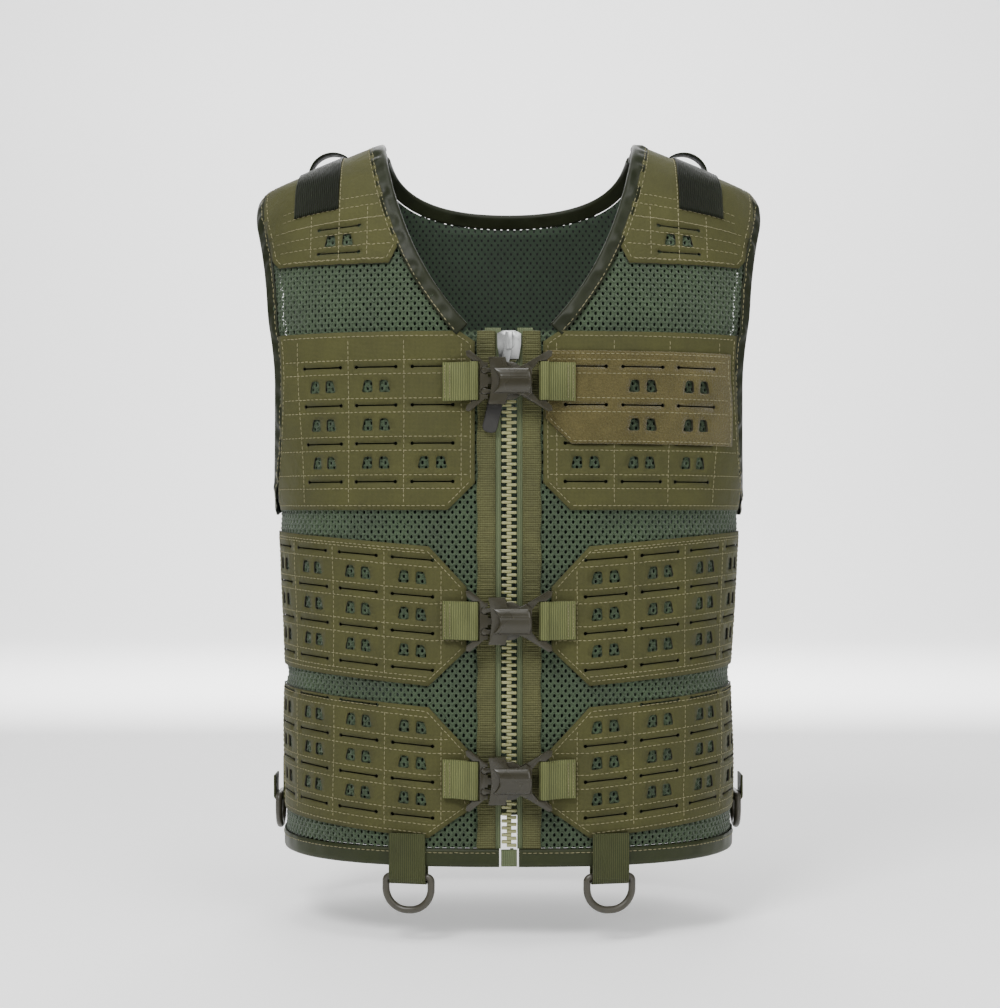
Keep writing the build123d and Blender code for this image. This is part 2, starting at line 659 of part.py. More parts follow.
def buckle_male():
    """The plug: a base outside the mouth, a middle tongue, pockets for the prongs and two arms."""
    base = outline([(-19.3, -12.0), (-14.0, -12.0), (-14.0, 12.0), (-19.3, 12.0)])
    tongue = Pos(-5.0, 0) * Rectangle(27.0, 2 * TONGUE_HALF_HEIGHT)
    inner = BUCKLE_THICKNESS / 2.0 - BUCKLE_WALL - PRONG_CLEARANCE
    body = slab(base, -ARM_THICKNESS / 2.0, ARM_THICKNESS / 2.0) + slab(tongue, -inner, inner)
    body += arms_and_bar(15.5, -1)
    pocket = Pos(*PRONG_PIVOT) * Circle(PRONG_KNUCKLE + PRONG_CLEARANCE)
    way_out = Pos(PRONG_PIVOT[0] + 3.0, PRONG_PIVOT[1] - 0.2) * Rectangle(6.0, 5.2)
    for cut in (pocket, way_out):
        body -= slab(cut, -REACH, REACH) + slab(mirror(cut, Plane.XZ), -REACH, REACH)
    return body


def buckle_prong():
    """The upper spring prong: a round root, a slim stem and a wide head with a curved outside."""
    x, z = PRONG_PIVOT
    root = Pos(x, z) * Circle(PRONG_KNUCKLE)
    stem = outline([(x, z - 1.4), (PRONG_HEAD_START, z - 1.0), (PRONG_HEAD_START, z + 1.8), (x, z + 1.4)])
    start, tip = PRONG_HEAD_START, PRONG_TIP
    head_edge = Line((start, z - 1.0), (tip - 1.5, z - 1.0)) + Line((tip - 1.5, z - 1.0), (tip, z + 1.0))
    head_edge += Spline((tip, z + 1.0), (4.5, z + 4.6), (start, z + 5.4)) + Line((start, z + 5.4), (start, z - 1.0))
    inner = BUCKLE_THICKNESS / 2.0 - BUCKLE_WALL - PRONG_CLEARANCE
    root_half = ARM_THICKNESS / 2.0
    return slab(root, -root_half, root_half) + slab(stem + make_face(head_edge), -inner, inner)


def on_vest(solid, height):
    return Pos(0, -BUCKLE_MIDDLE, height) * solid


def buckle_webbing(height):
    """Doubled webbing: round the buckle's bar, then flat on the panel where it is sewn down."""
    clear = BAR_RADIUS + WEBBING_CLEARANCE
    bar = (BAR_PLACE, -BUCKLE_MIDDLE)
    sewn_in = ANCHOR_OUTER - ANCHOR_LENGTH
    thick = 2 * WEBBING_THICKNESS
    outer = (ANCHOR_OUTER, -surface_depth(ANCHOR_OUTER, height, ANCHOR_LAYER))
    inner = (sewn_in, -surface_depth(sewn_in, height, ANCHOR_LAYER))
    loop = Pos(*bar) * (Circle(clear + WEBBING_THICKNESS) - Circle(clear))
    run = outline([
        outer,
        inner,
        (bar[0] + 2.0, bar[1] + clear + WEBBING_THICKNESS),
        (bar[0], bar[1] + clear + 0.1),
        (bar[0] + clear + 0.1, bar[1]),
        (bar[0] + 3.0, bar[1] - 0.4),
        (inner[0] + 0.4, inner[1] - thick),
        (outer[0], outer[1] - thick),
    ])
    face = (loop + run) - Pos(*bar) * Circle(clear)
    return Pos(0, 0, height - WEBBING_WIDTH / 2.0) * extrude(face, WEBBING_WIDTH)


# ---------------------------------------------------------------- D-rings
def ring(wire):
    """A D in its own frame: flat bar along X through the origin, the bow below it."""
    half = (RING_WIDTH - wire) / 2.0
    drop = RING_HEIGHT - wire
    bow = min(half, drop) - 1.0
    path = Line((-half + 3, 0), (half - 3, 0)) + RadiusArc((half - 3, 0), (half, -3), 3)
    path += Line((half, -3), (half, -(drop - bow)))
    path += RadiusArc((half, -(drop - bow)), (half - bow, -drop), bow)
    if half - bow > 0.01:
        path += Line((half - bow, -drop), (-(half - bow), -drop))
    path += RadiusArc((-(half - bow), -drop), (-half, -(drop - bow)), bow)
    path += Line((-half, -(drop - bow)), (-half, -3)) + RadiusArc((-half, -3), (-half + 3, 0), 3)
    line = Plane.XZ * path
    start = Plane(origin=(0, 0, 0), x_dir=(0, 1, 0), z_dir=(1, 0, 0))
    return sweep(start * Circle(wire / 2.0), line)


def ring_webbing(inner_layer, outer_layer, inner_top, outer_top, bar_z):
    """A U of webbing round a ring's bar, its legs against the cloth's two faces, in the bar's frame."""
    mid = (inner_layer + outer_layer) / 2.0
    gap = (outer_layer - inner_layer) / 2.0
    width = WEBBING_WIDTH - 0.4
    outside = gap + WEBBING_THICKNESS
    turn = Circle(outside) - Circle(gap)
    turn = turn - Pos(0, outside) * Rectangle(4 * outside, 2 * outside)
    front_leg = Pos(-(gap + WEBBING_THICKNESS / 2.0), (outer_top - bar_z) / 2.0)
    front_leg = front_leg * Rectangle(WEBBING_THICKNESS, outer_top - bar_z)
    back_leg = Pos(gap + WEBBING_THICKNESS / 2.0, (inner_top - bar_z) / 2.0)
    back_leg = back_leg * Rectangle(WEBBING_THICKNESS, inner_top - bar_z)
    profile = turn + front_leg + back_leg
    strap = extrude(Plane.YZ.offset(-width / 2.0) * profile, width)
    return strap, mid


def front_frame(x, layer, height):
    """A place on the front: its own X runs across the surface, its -Y points outwards."""
    step = 1.0
    turn = math.degrees(math.atan2(
        surface_depth(x - step, height, layer) - surface_depth(x + step, height, layer), 2 * step
    ))
    return Pos(x, -surface_depth(x, height, layer), height) * Rot(0, 0, turn)


def side_frame(layer, height):
    """A place on the right-hand side, a little behind the side seam, with -Y turned outwards."""
    return Pos(half_width(height) + layer, SIDE_RING_BACK, height) * Rot(0, 0, 90)


FRONT_BAR_HEIGHT = FRONT_RING_TOP - RING_WIRE / 2.0
SIDE_BAR_HEIGHT = SIDE_RING_TOP - RING_WIRE / 2.0
WEB_INSIDE = BINDING_LAYER[0] - RING_WEBBING_CLEARANCE
WEB_OUTSIDE = BINDING_LAYER[1] + RING_WEBBING_CLEARANCE
SIDE_WEB_INSIDE = WEB_OUTSIDE + WEBBING_THICKNESS + 0.2
SIDE_WEB_OUTSIDE = SIDE_WEB_INSIDE + RING_WIRE + 2 * WEBBING_CLEARANCE


def front_ring_pieces():
    strap, mid = ring_webbing(WEB_INSIDE, WEB_OUTSIDE, 9.0, RING_WEBBING_TOP, FRONT_BAR_HEIGHT)
    place = front_frame(FRONT_RING_PLACE, mid, 0.0) * Pos(0, 0, FRONT_BAR_HEIGHT)
    return place * ring(RING_WIRE), place * strap


def side_ring_pieces():
    strap, mid = ring_webbing(
        SIDE_WEB_INSIDE, SIDE_WEB_OUTSIDE, SIDE_WEBBING_TOP, SIDE_WEBBING_TOP - 14.0, SIDE_BAR_HEIGHT
    )
    place = side_frame(mid, 0.0) * Pos(0, 0, SIDE_BAR_HEIGHT)
    return place * ring(RING_WIRE), place * strap


# ---------------------------------------------------------------- assembly
def both_sides(name, solid):
    """The wearer's left is +X."""
    return {name + "_left": solid, name + "_right": left_of(solid)}


def vest():
    pieces = {"mesh_back": mesh_back(), "neck_binding": neck_binding(), "hem_binding": hem_binding()}
    pieces.update(both_sides("mesh_front", mesh_front()))
    pieces.update(both_sides("armhole_binding", armhole_binding()))
    pieces.update(both_sides("chest_panel", chest_panel()))
    pieces.update(both_sides("mid_panel", hexagon_panel(MID_PANEL, MID_PANEL_EDGE, MID_PANEL_INNER)))
    pieces.update(both_sides("lower_panel", hexagon_panel(LOWER_PANEL, LOWER_PANEL_EDGE, LOWER_PANEL_INNER)))
    outer = SHOULDER_OUTER + 30.0
    shoulder = over_shoulder(
        PANEL_LAYER, SHOULDER_PANEL_INNER, outer, SHOULDER_PANEL_BOTTOM, SHOULDER_PANEL_CHAMFER
    )
    pieces.update(both_sides("shoulder_panel", shoulder))
    middle = (NECK_HALF_WIDTH + SHOULDER_OUTER) / 2.0
    band = (middle - ELASTIC_WIDTH / 2.0, middle + ELASTIC_WIDTH / 2.0)
    pieces.update(both_sides("shoulder_elastic", over_shoulder(ELASTIC_LAYER, *band, ELASTIC_BOTTOM, 0.01)))
    pieces.update(both_sides("shoulder_keeper", keeper()))
    pieces["back_upper_panel"] = back_upper_panel()
    pieces["back_mid_panel"] = back_panel(MID_PANEL)
    pieces["back_lower_panel"] = back_panel(LOWER_PANEL)
    pieces["loop_patch"] = loop_patch()
    placket = centre_strip(PANEL_LAYER, PLACKET_INNER, PLACKET_INNER + PLACKET_WIDTH, ZIP_TOP - 2.0)
    pieces.update(both_sides("placket_tape", placket))
    tape = centre_strip(ZIP_TAPE_LAYER, TEETH_HALF_WIDTH + 0.4, ZIP_TAPE_OUTER, ZIP_TOP)
    pieces.update(both_sides("zip_tape", tape))
    pieces["zip_teeth_left"] = teeth(1)
    pieces["zip_teeth_right"] = teeth(-1)
    pieces["zip_slider"] = slider()
    pieces["zip_pull_tab"] = pull_tab()
    pieces["zip_pull_tag"] = pull_tag()
    pieces["zip_retainer_box"] = retainer_box()
    pieces["zip_insertion_pin"] = insertion_pin()
    female, male, prong = buckle_female(), buckle_male(), buckle_prong()
    for name, height in zip(BUCKLE_NAMES, BUCKLE_HEIGHTS):
        pieces[f"buckle_{name}_socket"] = on_vest(female, height)
        pieces[f"buckle_{name}_plug"] = on_vest(male, height)
        pieces[f"buckle_{name}_prong_upper"] = on_vest(prong, height)
        pieces[f"buckle_{name}_prong_lower"] = on_vest(mirror(prong, Plane.XY), height)
        pieces.update(both_sides(f"buckle_{name}_webbing", buckle_webbing(height)))
    front_ring, front_strap = front_ring_pieces()
    side_ring, side_strap = side_ring_pieces()
    pieces.update(both_sides("front_ring", front_ring))
    pieces.update(both_sides("side_ring", side_ring))
    pieces["front_ring_webbing"] = Compound([front_strap.solid(), left_of(front_strap).solid()])
    pieces["side_ring_webbing"] = Compound([side_strap.solid(), left_of(side_strap).solid()])
    return pieces


for node, solid in vest().items():
    export_step(solid, f"parts/{node}.step")
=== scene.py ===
"""A load-carrying mesh vest, dressed for the shop shelf.

The torso's form is one smooth surface, and every cloth piece is cut flat and then laid on it.
Lengths are millimetres until a mesh is made, which is in metres.
"""
import logging
import math
from dataclasses import dataclass, field
from enum import Enum
from typing import Callable, Sequence

import bmesh
import bpy
import numpy as np
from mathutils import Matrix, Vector
from mathutils.geometry import delaunay_2d_cdt


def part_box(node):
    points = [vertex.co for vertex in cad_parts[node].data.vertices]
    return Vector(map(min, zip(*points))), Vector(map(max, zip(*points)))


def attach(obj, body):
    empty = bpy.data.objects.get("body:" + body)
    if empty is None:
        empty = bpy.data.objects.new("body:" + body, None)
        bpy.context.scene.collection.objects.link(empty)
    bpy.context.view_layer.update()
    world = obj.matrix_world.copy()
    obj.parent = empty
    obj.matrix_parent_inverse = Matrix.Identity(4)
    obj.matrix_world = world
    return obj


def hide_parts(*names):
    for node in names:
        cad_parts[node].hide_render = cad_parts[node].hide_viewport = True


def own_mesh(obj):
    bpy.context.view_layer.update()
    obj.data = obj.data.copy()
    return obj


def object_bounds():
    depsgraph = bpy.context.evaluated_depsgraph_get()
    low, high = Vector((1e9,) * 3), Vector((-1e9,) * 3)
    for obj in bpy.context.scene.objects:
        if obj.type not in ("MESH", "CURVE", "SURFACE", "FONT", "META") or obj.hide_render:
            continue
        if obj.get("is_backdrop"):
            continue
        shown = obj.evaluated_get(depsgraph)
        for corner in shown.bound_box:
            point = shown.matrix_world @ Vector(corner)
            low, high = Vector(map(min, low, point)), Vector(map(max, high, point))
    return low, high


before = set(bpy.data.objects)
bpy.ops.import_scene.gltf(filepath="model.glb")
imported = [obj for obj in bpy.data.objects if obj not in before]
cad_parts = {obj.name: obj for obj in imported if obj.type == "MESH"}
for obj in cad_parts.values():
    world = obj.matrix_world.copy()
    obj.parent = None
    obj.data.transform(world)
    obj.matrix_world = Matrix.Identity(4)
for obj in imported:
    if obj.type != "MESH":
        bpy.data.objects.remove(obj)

LOG = logging.getLogger("vest")
MM = 0.001
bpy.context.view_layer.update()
Array = np.ndarray


class Face(Enum):
    """Which half of the torso a piece lies on; the value is its side of Y."""

    FRONT = -1.0
    BACK = 1.0


class Side(Enum):
    """The wearer's left or right; the value is its side of X."""

    left = 1.0
    right = -1.0


# ---------------------------------------------------------------- meshes
def make_object(name: str, points: Array, faces: Sequence, flat: Array | None = None) -> bpy.types.Object:
    """Puts points in millimetres and faces into a new smooth object.

    Args:
        name: the piece's name.
        points: (n, 3) places in millimetres.
        faces: rows of vertex numbers.
        flat: (n, 2) places on the flat cut, kept in metres as the piece's UV map.
    Returns:
        The object, at the origin.
    """
    mesh = bpy.data.meshes.new(name)
    mesh.from_pydata((points * MM).tolist(), [], [list(map(int, f)) for f in faces])
    if flat is not None:
        layer = mesh.uv_layers.new(name="flat")
        corner = np.empty(len(mesh.loops), dtype=np.int32)
        mesh.loops.foreach_get("vertex_index", corner)
        layer.data.foreach_set("uv", (flat[corner] * MM).astype(np.float32).ravel())
    mesh.polygons.foreach_set("use_smooth", [True] * len(mesh.polygons))
    mesh.update()
    piece = bpy.data.objects.new(name, mesh)
    bpy.context.collection.objects.link(piece)
    return piece


def grid_faces(rows: int, columns: int, closed: bool = False, first: int = 0) -> Array:
    """Quads of a grid of points stored row by row; closed joins the last column to the first."""
    across = np.arange(columns if closed else columns - 1)
    down = np.arange(rows - 1)[:, None]
    a = down * columns + across
    b = down * columns + (across + 1) % columns
    return np.stack([a, b, b + columns, a + columns], axis=-1).reshape(-1, 4) + first


def outward(piece: bpy.types.Object) -> bpy.types.Object:
    """Merges a closed piece's doubles and turns its faces outwards."""
    work = bmesh.new()
    work.from_mesh(piece.data)
    bmesh.ops.remove_doubles(work, verts=work.verts, dist=1e-6)
    bmesh.ops.recalc_face_normals(work, faces=work.faces)
    work.to_mesh(piece.data)
    work.free()
    return piece


def thicken(piece: bpy.types.Object, thickness: float, rim: int = 0, shell: int = 0) -> None:
    """Gives a sheet its thickness in millimetres, inwards from its outer face."""
    wall = piece.modifiers.new("wall", "SOLIDIFY")
    wall.thickness = thickness * MM
    wall.offset = -1.0
    wall.material_offset_rim = rim
    wall.material_offset = shell


def facing(points: Array, faces: Array, normals: Array) -> Array:
    """Turns each triangle so that it faces along the form's normal there."""
    a, b, c = (points[faces[:, k]] for k in range(3))
    turned = np.einsum("ij,ij->i", np.cross(b - a, c - a), normals[faces[:, 0]]) < 0
    faces = faces.copy()
    faces[turned] = faces[turned][:, ::-1]
    return faces


# ---------------------------------------------------------------- the torso's form
def eased(keys: Sequence[tuple[float, float]]) -> Callable[[Array], tuple[Array, Array]]:
    """A monotone cubic through the keys: between two keys the value is their cubic Hermite blend.

    Returns:
        A function of heights that gives values and slopes.
    """
    at, value = (np.array(column, dtype=float) for column in zip(*keys))
    steps = np.diff(at)
    slopes = np.diff(value) / steps
    near, far = 2 * steps[1:] + steps[:-1], steps[1:] + 2 * steps[:-1]
    same = slopes[:-1] * slopes[1:] > 0
    safe = [np.where(same, s, 1.0) for s in (slopes[:-1], slopes[1:])]
    inner = np.where(same, (near + far) / (near / safe[0] + far / safe[1]), 0.0)
    tangents = np.concatenate([slopes[:1], inner, slopes[-1:]])

    def curve(height: Array) -> tuple[Array, Array]:
        """The curve and its slope at a height."""
        h = np.clip(np.asarray(height, dtype=float), at[0], at[-1])
        k = np.clip(np.searchsorted(at, h, side="right") - 1, 0, len(steps) - 1)
        s = steps[k]
        u = (h - at[k]) / s
        p, q, m, n = value[k], value[k + 1], tangents[k], tangents[k + 1]
        y = (
            (1 + 2 * u) * (1 - u) ** 2 * p + u * (1 - u) ** 2 * s * m
            + u * u * (3 - 2 * u) * q + u * u * (u - 1) * s * n
        )
        dy = (6 * u * u - 6 * u) * (p - q) / s + (3 * u * u - 4 * u + 1) * m + (3 * u * u - 2 * u) * n
        return y, dy

    return curve


@dataclass
class TorsoForm:
    """The torso that every cloth piece is laid on.

    A level section is a superellipse: x = a r sin(t), y = -b r cos(t), with
    r = (|sin t|^n + |cos t|^n)^(-1/n), and a and b change with height.
    """

    roundness: float = 2.5
    widths: tuple = (
        (-40.0, 155.0), (106.0, 155.0), (243.0, 162.0), (320.0, 176.0), (389.2, 184.0), (430.0, 182.0),
        (454.48, 173.0), (469.44, 144.0), (484.4, 108.0), (498.0, 74.0), (510.0, 64.0), (522.0, 60.0),
    )
    depths: tuple = (
        (-40.0, 115.0), (362.0, 115.0), (389.2, 110.0), (430.0, 99.0), (454.48, 89.0), (469.44, 82.0),
        (484.4, 74.0), (498.0, 66.0), (510.0, 61.0), (522.0, 58.0),
    )
    levels: tuple[float, float, float] = (-45.0, 500.0, 2.5)
    arc_step: float = 0.5
    arc_reach: float = 560.0
    ray_height: float = 355.0
    strap_x: tuple[float, float] = (50.0, 174.0)
    strap_reach: float = 190.0
    strap_foot: float = 402.0
    strap_middle: float = 113.5

    def __post_init__(self) -> None:
        """Works out the width and depth curves and both tables of arc length."""
        self.half_width = eased(self.widths)
        self.half_depth = eased(self.depths)
        self.measure_levels()
        self.measure_straps()

    def measure_levels(self) -> None:
        """Arc length against angle at each level, turned round so that angle is read from arc length."""
        low, high, step = self.levels
        self.heights = np.arange(low, high + step, step)
        turn = np.linspace(0.0, math.pi, 1441)
        n = self.roundness
        reach = (np.abs(np.sin(turn)) ** n + np.abs(np.cos(turn)) ** n) ** (-1 / n)
        a, b = self.half_width(self.heights)[0], self.half_depth(self.heights)[0]
        x = a[:, None] * (reach * np.sin(turn))
        y = -b[:, None] * (reach * np.cos(turn))
        arc = np.concatenate(
            [np.zeros((len(a), 1)), np.cumsum(np.hypot(np.diff(x), np.diff(y)), axis=1)], axis=1,
        )
        self.arcs = np.arange(0.0, self.arc_reach, self.arc_step)
        self.turns = np.stack([np.interp(self.arcs, row, turn) for row in arc])
        self.half_girth = arc[:, -1]
        self.side_arc = arc[:, len(turn) // 2]

    def measure_straps(self) -> None:
        """Arc length over the shoulder from its ridge, at each place across, found along rays."""
        across = np.arange(self.strap_x[0], self.strap_x[1], 1.0)
        turn = np.linspace(0.0, math.pi, 361)
        low = np.zeros((len(across), len(turn)))
        high = np.full_like(low, 260.0)
        for _ in range(36):
            middle = (low + high) / 2
            inside = self.level_of(
                across[:, None] + 0 * middle, -middle * np.cos(turn),
                self.ray_height + middle * np.sin(turn),
            ) < 0
            low, high = np.where(inside, middle, low), np.where(inside, high, middle)
        y, z = -low * np.cos(turn), self.ray_height + low * np.sin(turn)
        arc = np.concatenate(
            [np.zeros((len(across), 1)), np.cumsum(np.hypot(np.diff(y), np.diff(z)), axis=1)], axis=1,
        )
        arc -= arc[:, 180:181]
        self.strap_across = across
        self.strap_arcs = np.arange(-self.strap_reach, self.strap_reach, 0.5)
        self.strap_y = np.stack([np.interp(self.strap_arcs, s, v) for s, v in zip(arc, y)])
        self.strap_z = np.stack([np.interp(self.strap_arcs, s, v) for s, v in zip(arc, z)])

    def level_of(self, x: Array, y: Array, z: Array) -> Array:
        """Below zero inside the form, above zero outside."""
        a, b = self.half_width(z)[0], self.half_depth(z)[0]
        return (np.abs(x) / a) ** self.roundness + (np.abs(y) / b) ** self.roundness - 1.0

    def gradient(self, points: Array) -> tuple[Array, Array]:
        """The form's level and its gradient at some points."""
        x, y, z = points.T
        n = self.roundness
        (a, da), (b, db) = self.half_width(z), self.half_depth(z)
        px, py = (np.abs(x) / a) ** (n - 1), (np.abs(y) / b) ** (n - 1)
        gx, gy = n * px * np.sign(x) / a, n * py * np.sign(y) / b
        gz = -n * px * np.abs(x) / a * da / a - n * py * np.abs(y) / b * db / b
        return px * np.abs(x) / a + py * np.abs(y) / b - 1.0, np.stack([gx, gy, gz], axis=1)

    def normal(self, points: Array) -> Array:
        """The outward unit normal: the level's gradient, made one long."""
        slope = self.gradient(points)[1]
        return slope / np.linalg.norm(slope, axis=1, keepdims=True)

    def settle(self, points: Array, lift: Array | float = 0.0) -> Array:
        """Brings points near the form onto it by Newton steps along the gradient, then lifts them."""
        p = points.astype(float).copy()
        for _ in range(5):
            level, slope = self.gradient(p)
            p -= slope * (level / np.einsum("ij,ij->i", slope, slope))[:, None]
        return p + self.normal(p) * np.broadcast_to(np.asarray(lift, dtype=float), len(p))[:, None]

    def wrap(self, u: Array, v: Array, face: Face = Face.FRONT) -> Array:
        """The place at arc length u from the middle of a face along the level section at height v."""
        u, v = np.broadcast_arrays(np.asarray(u, dtype=float), np.asarray(v, dtype=float))
        row = np.clip((v - self.heights[0]) / self.levels[2], 0, len(self.heights) - 1.001)
        col = np.clip(np.abs(u) / self.arc_step, 0, len(self.arcs) - 1.001)
        i, j = row.astype(int), col.astype(int)
        f, g = row - i, col - j
        t = self.turns
        turn = (
            (t[i, j] * (1 - f) + t[i + 1, j] * f) * (1 - g)
            + (t[i, j + 1] * (1 - f) + t[i + 1, j + 1] * f) * g
        )
        n = self.roundness
        reach = (np.abs(np.sin(turn)) ** n + np.abs(np.cos(turn)) ** n) ** (-1 / n)
        a, b = self.half_width(v)[0], self.half_depth(v)[0]
        return np.stack(
            [np.sign(u) * a * reach * np.sin(turn), face.value * b * reach * np.cos(turn), v], axis=-1,
        )

    def side_at(self, v: Array) -> Array:
        """The arc length from the middle to the side seam at height v."""
        return np.interp(v, self.heights, self.side_arc)

    def arc_of(self, x: float, v: float) -> float:
        """The arc length at which a level section reaches a place across the front."""
        u = np.arange(0.0, 260.0, 0.5)
        reached = self.wrap(u, np.full_like(u, v))[:, 0]
        return float(np.interp(x, reached[: reached.argmax() + 1], u[: reached.argmax() + 1]))

    def over(self, x: Array, s: Array) -> Array:
        """The place at arc length s behind the shoulder's ridge, at |x| across; x keeps its sign."""
        x, s = np.broadcast_arrays(np.asarray(x, dtype=float), np.asarray(s, dtype=float))
        row = np.clip(np.abs(x) - self.strap_across[0], 0, len(self.strap_across) - 1.001)
        col = np.clip((s + self.strap_reach) / 0.5, 0, len(self.strap_arcs) - 1.001)
        i, j = row.astype(int), col.astype(int)
        f, g = row - i, col - j

        def read(t: Array) -> Array:
            """One table at the four nearest places, blended."""
            return (
                (t[i, j] * (1 - f) + t[i + 1, j] * f) * (1 - g)
                + (t[i, j + 1] * (1 - f) + t[i + 1, j + 1] * f) * g
            )

        return np.stack([x, read(self.strap_y), read(self.strap_z)], axis=-1)

    def strap_share(self, x: Array) -> Array:
        """The strap's length from its ridge to the panel's foot at |x|, against that at its middle."""
        below = self.strap_z[:, self.strap_z.shape[1] // 2:] < self.strap_foot
        known = below.any(axis=1)
        across, feet = self.strap_across[known], below.argmax(axis=1)[known] * 0.5
        return np.interp(np.abs(x), across, feet) / np.interp(self.strap_middle, across, feet)

    def arc_over(self, x: float, height: float, face: Face) -> float:
        """The arc length over the shoulder at which a place across falls to a height."""
        s = np.arange(0.0, self.strap_reach - 1.0, 0.5) * face.value
        z = self.over(np.full_like(s, x), s)[:, 2]
        below = np.nonzero(z < height)[0]
        return float(s[below[0]] if len(below) else s[-1])


@dataclass(frozen=True)
class Drape:
    """The cloth's slack: shallow swells, and creases along the bare strips between the panels.

    The lift is a sum of a few long sine waves, less a bell-shaped trough along each strip.
    """

    swell: float = 0.9
    strips: tuple = ((113.0, 1.7, 4.5), (225.0, 1.9, 7.0))
    rise: float = 9.0
    rise_from: float = 53.0
    rise_to: float = 155.0

    def rise_at(self, x: Array) -> Array:
        """How far the rows have risen at |x| across: none at the front, then evenly to the side."""
        return self.rise * np.clip((np.abs(x) - self.rise_from) / (self.rise_to - self.rise_from), 0.0, 1.3)

    def lift(self, points: Array) -> Array:
        """How far the cloth stands off or sinks at some places on the form."""
        x, y, z = points.T
        calm = np.clip(
            (np.abs(x) - 46.0) / 30.0, 0, 1,
        ) * np.clip((z - 20.0) / 25.0, 0, 1) * np.clip((400.0 - z) / 30.0, 0, 1)
        near_ring = np.exp(-((y - 12.0) / 26.0) ** 2 - ((z - 35.0) / 30.0) ** 2)
        waves = (
            np.sin(x / 23.0 + z / 41.0) + np.sin(z / 17.0 - x / 57.0 + y / 30.0 + 1.3)
            + 0.8 * np.sin(y / 19.0 + z / 27.0 + x / 88.0)
        )
        out = self.swell * waves / 2.0
        for height, deep, wide in self.strips:
            middle = height + self.rise_at(x)
            shade = 0.75 + 0.25 * np.sin(x / 11.0 + height) * np.sin(y / 13.0 + 0.5)
            out = out - deep * shade * np.exp(-(((z - middle) / wide) ** 2))
        return out * calm * (1.0 - near_ring)


FORM = TorsoForm()
DRAPE = Drape()


def laid(
    u: Array, v: Array, lift: Array | float, face: Face = Face.FRONT, rises: bool = False,
) -> tuple[Array, Array]:
    """Lays flat cloth on the form.

    Args:
        u: arc lengths across, positive to the wearer's left.
        v: heights on the cut.
        lift: distance from the inside of the mesh.
        face: the front or the back.
        rises: whether the rows climb towards the sides.
    Returns:
        The places, and the outward normals there.
    """
    u, v = np.broadcast_arrays(np.asarray(u, dtype=float), np.asarray(v, dtype=float))
    base = FORM.wrap(u, v, face)
    if rises:
        base = FORM.wrap(u, v + DRAPE.rise_at(base[..., 0]), face)
    normals = FORM.normal(base.reshape(-1, 3))
    slack = DRAPE.lift(base.reshape(-1, 3))
    return base.reshape(
        -1, 3,
    ) + normals * (np.broadcast_to(lift, u.shape).ravel() + slack)[:, None], normals


def inside(points: Array, outline: Array) -> Array:
    """Whether flat points lie inside a closed outline, by counting the edges to their right."""
    x, y = points.T
    hit = np.zeros(len(points), dtype=bool)
    for (ax, ay), (bx, by) in zip(outline, np.roll(outline, -1, axis=0)):
        if ay != by:
            crosses = (ay > y) != (by > y)
            hit ^= crosses & (x < (bx - ax) * (y - ay) / (by - ay) + ax)
    return hit


def resampled(outline: Array, step: float) -> Array:
    """An outline with points no further apart than step."""
    ends = np.roll(outline, -1, axis=0)
    parts = []
    for a, b in zip(outline, ends):
        count = max(1, int(math.ceil(np.linalg.norm(b - a) / step)))
        parts.append(a + (b - a) * (np.arange(count) / count)[:, None])
    return np.concatenate(parts)


def cut_blank(outline: Array, holes: Sequence[Array], step: float) -> tuple[Array, Array]:
    """Cuts a flat blank with holes into triangles.

    A lattice of points fills the outline, and a constrained Delaunay triangulation joins them to
    the cut edges.

    Args:
        outline: the blank's corners.
        holes: the corners of each hole.
        step: the lattice's pitch.
    Returns:
        Flat points and triangles.
    """
    rim = resampled(outline, step)
    low, high = rim.min(axis=0), rim.max(axis=0)
    lattice = np.stack(
        np.meshgrid(np.arange(low[0], high[0], step), np.arange(low[1], high[1], step)), axis=-1,
    ).reshape(-1, 2)
    lattice[:, 0] += 0.37 * step
    keep = inside(lattice, rim)
    for hole in holes:
        a, b = hole.min(axis=0) - 0.8, hole.max(axis=0) + 0.8
        keep &= ~np.all((lattice > a) & (lattice < b), axis=1)
    lattice = lattice[keep]
    loops = [rim, *holes]
    points = np.concatenate([*loops, lattice])
    edges, first = [], 0
    for loop in loops:
        edges += [(first + k, first + (k + 1) % len(loop)) for k in range(len(loop))]
        first += len(loop)
    verts, _, faces, *_ = delaunay_2d_cdt([Vector(p) for p in points.tolist()], edges, [], 0, 1e-5)
    flat = np.array([v[:] for v in verts])
    tris = np.array(faces, dtype=int)
    middle = flat[tris].mean(axis=1)
    area = np.cross(flat[tris[:, 1]] - flat[tris[:, 0]], flat[tris[:, 2]] - flat[tris[:, 0]])
    keep = inside(middle, rim) & (np.abs(area) > 1e-6)
    for hole in holes:
        a, b = hole.min(axis=0), hole.max(axis=0)
        near = np.nonzero(keep & np.all((middle > a) & (middle < b), axis=1))[0]
        keep[near[inside(middle[near], hole)]] = False
    tris = tris[keep]
    used, index = np.unique(tris, return_inverse=True)
    return flat[used], index.reshape(-1, 3)


# ---------------------------------------------------------------- finishes
def linear(colour: str, alpha: float = 1.0) -> tuple[float, float, float, float]:
    """An sRGB hex value as linear light."""
    parts = [int(colour[k:k + 2], 16) / 255.0 for k in (1, 3, 5)]
    return (*[c / 12.92 if c <= 0.04045 else ((c + 0.055) / 1.055) ** 2.4 for c in parts], alpha)


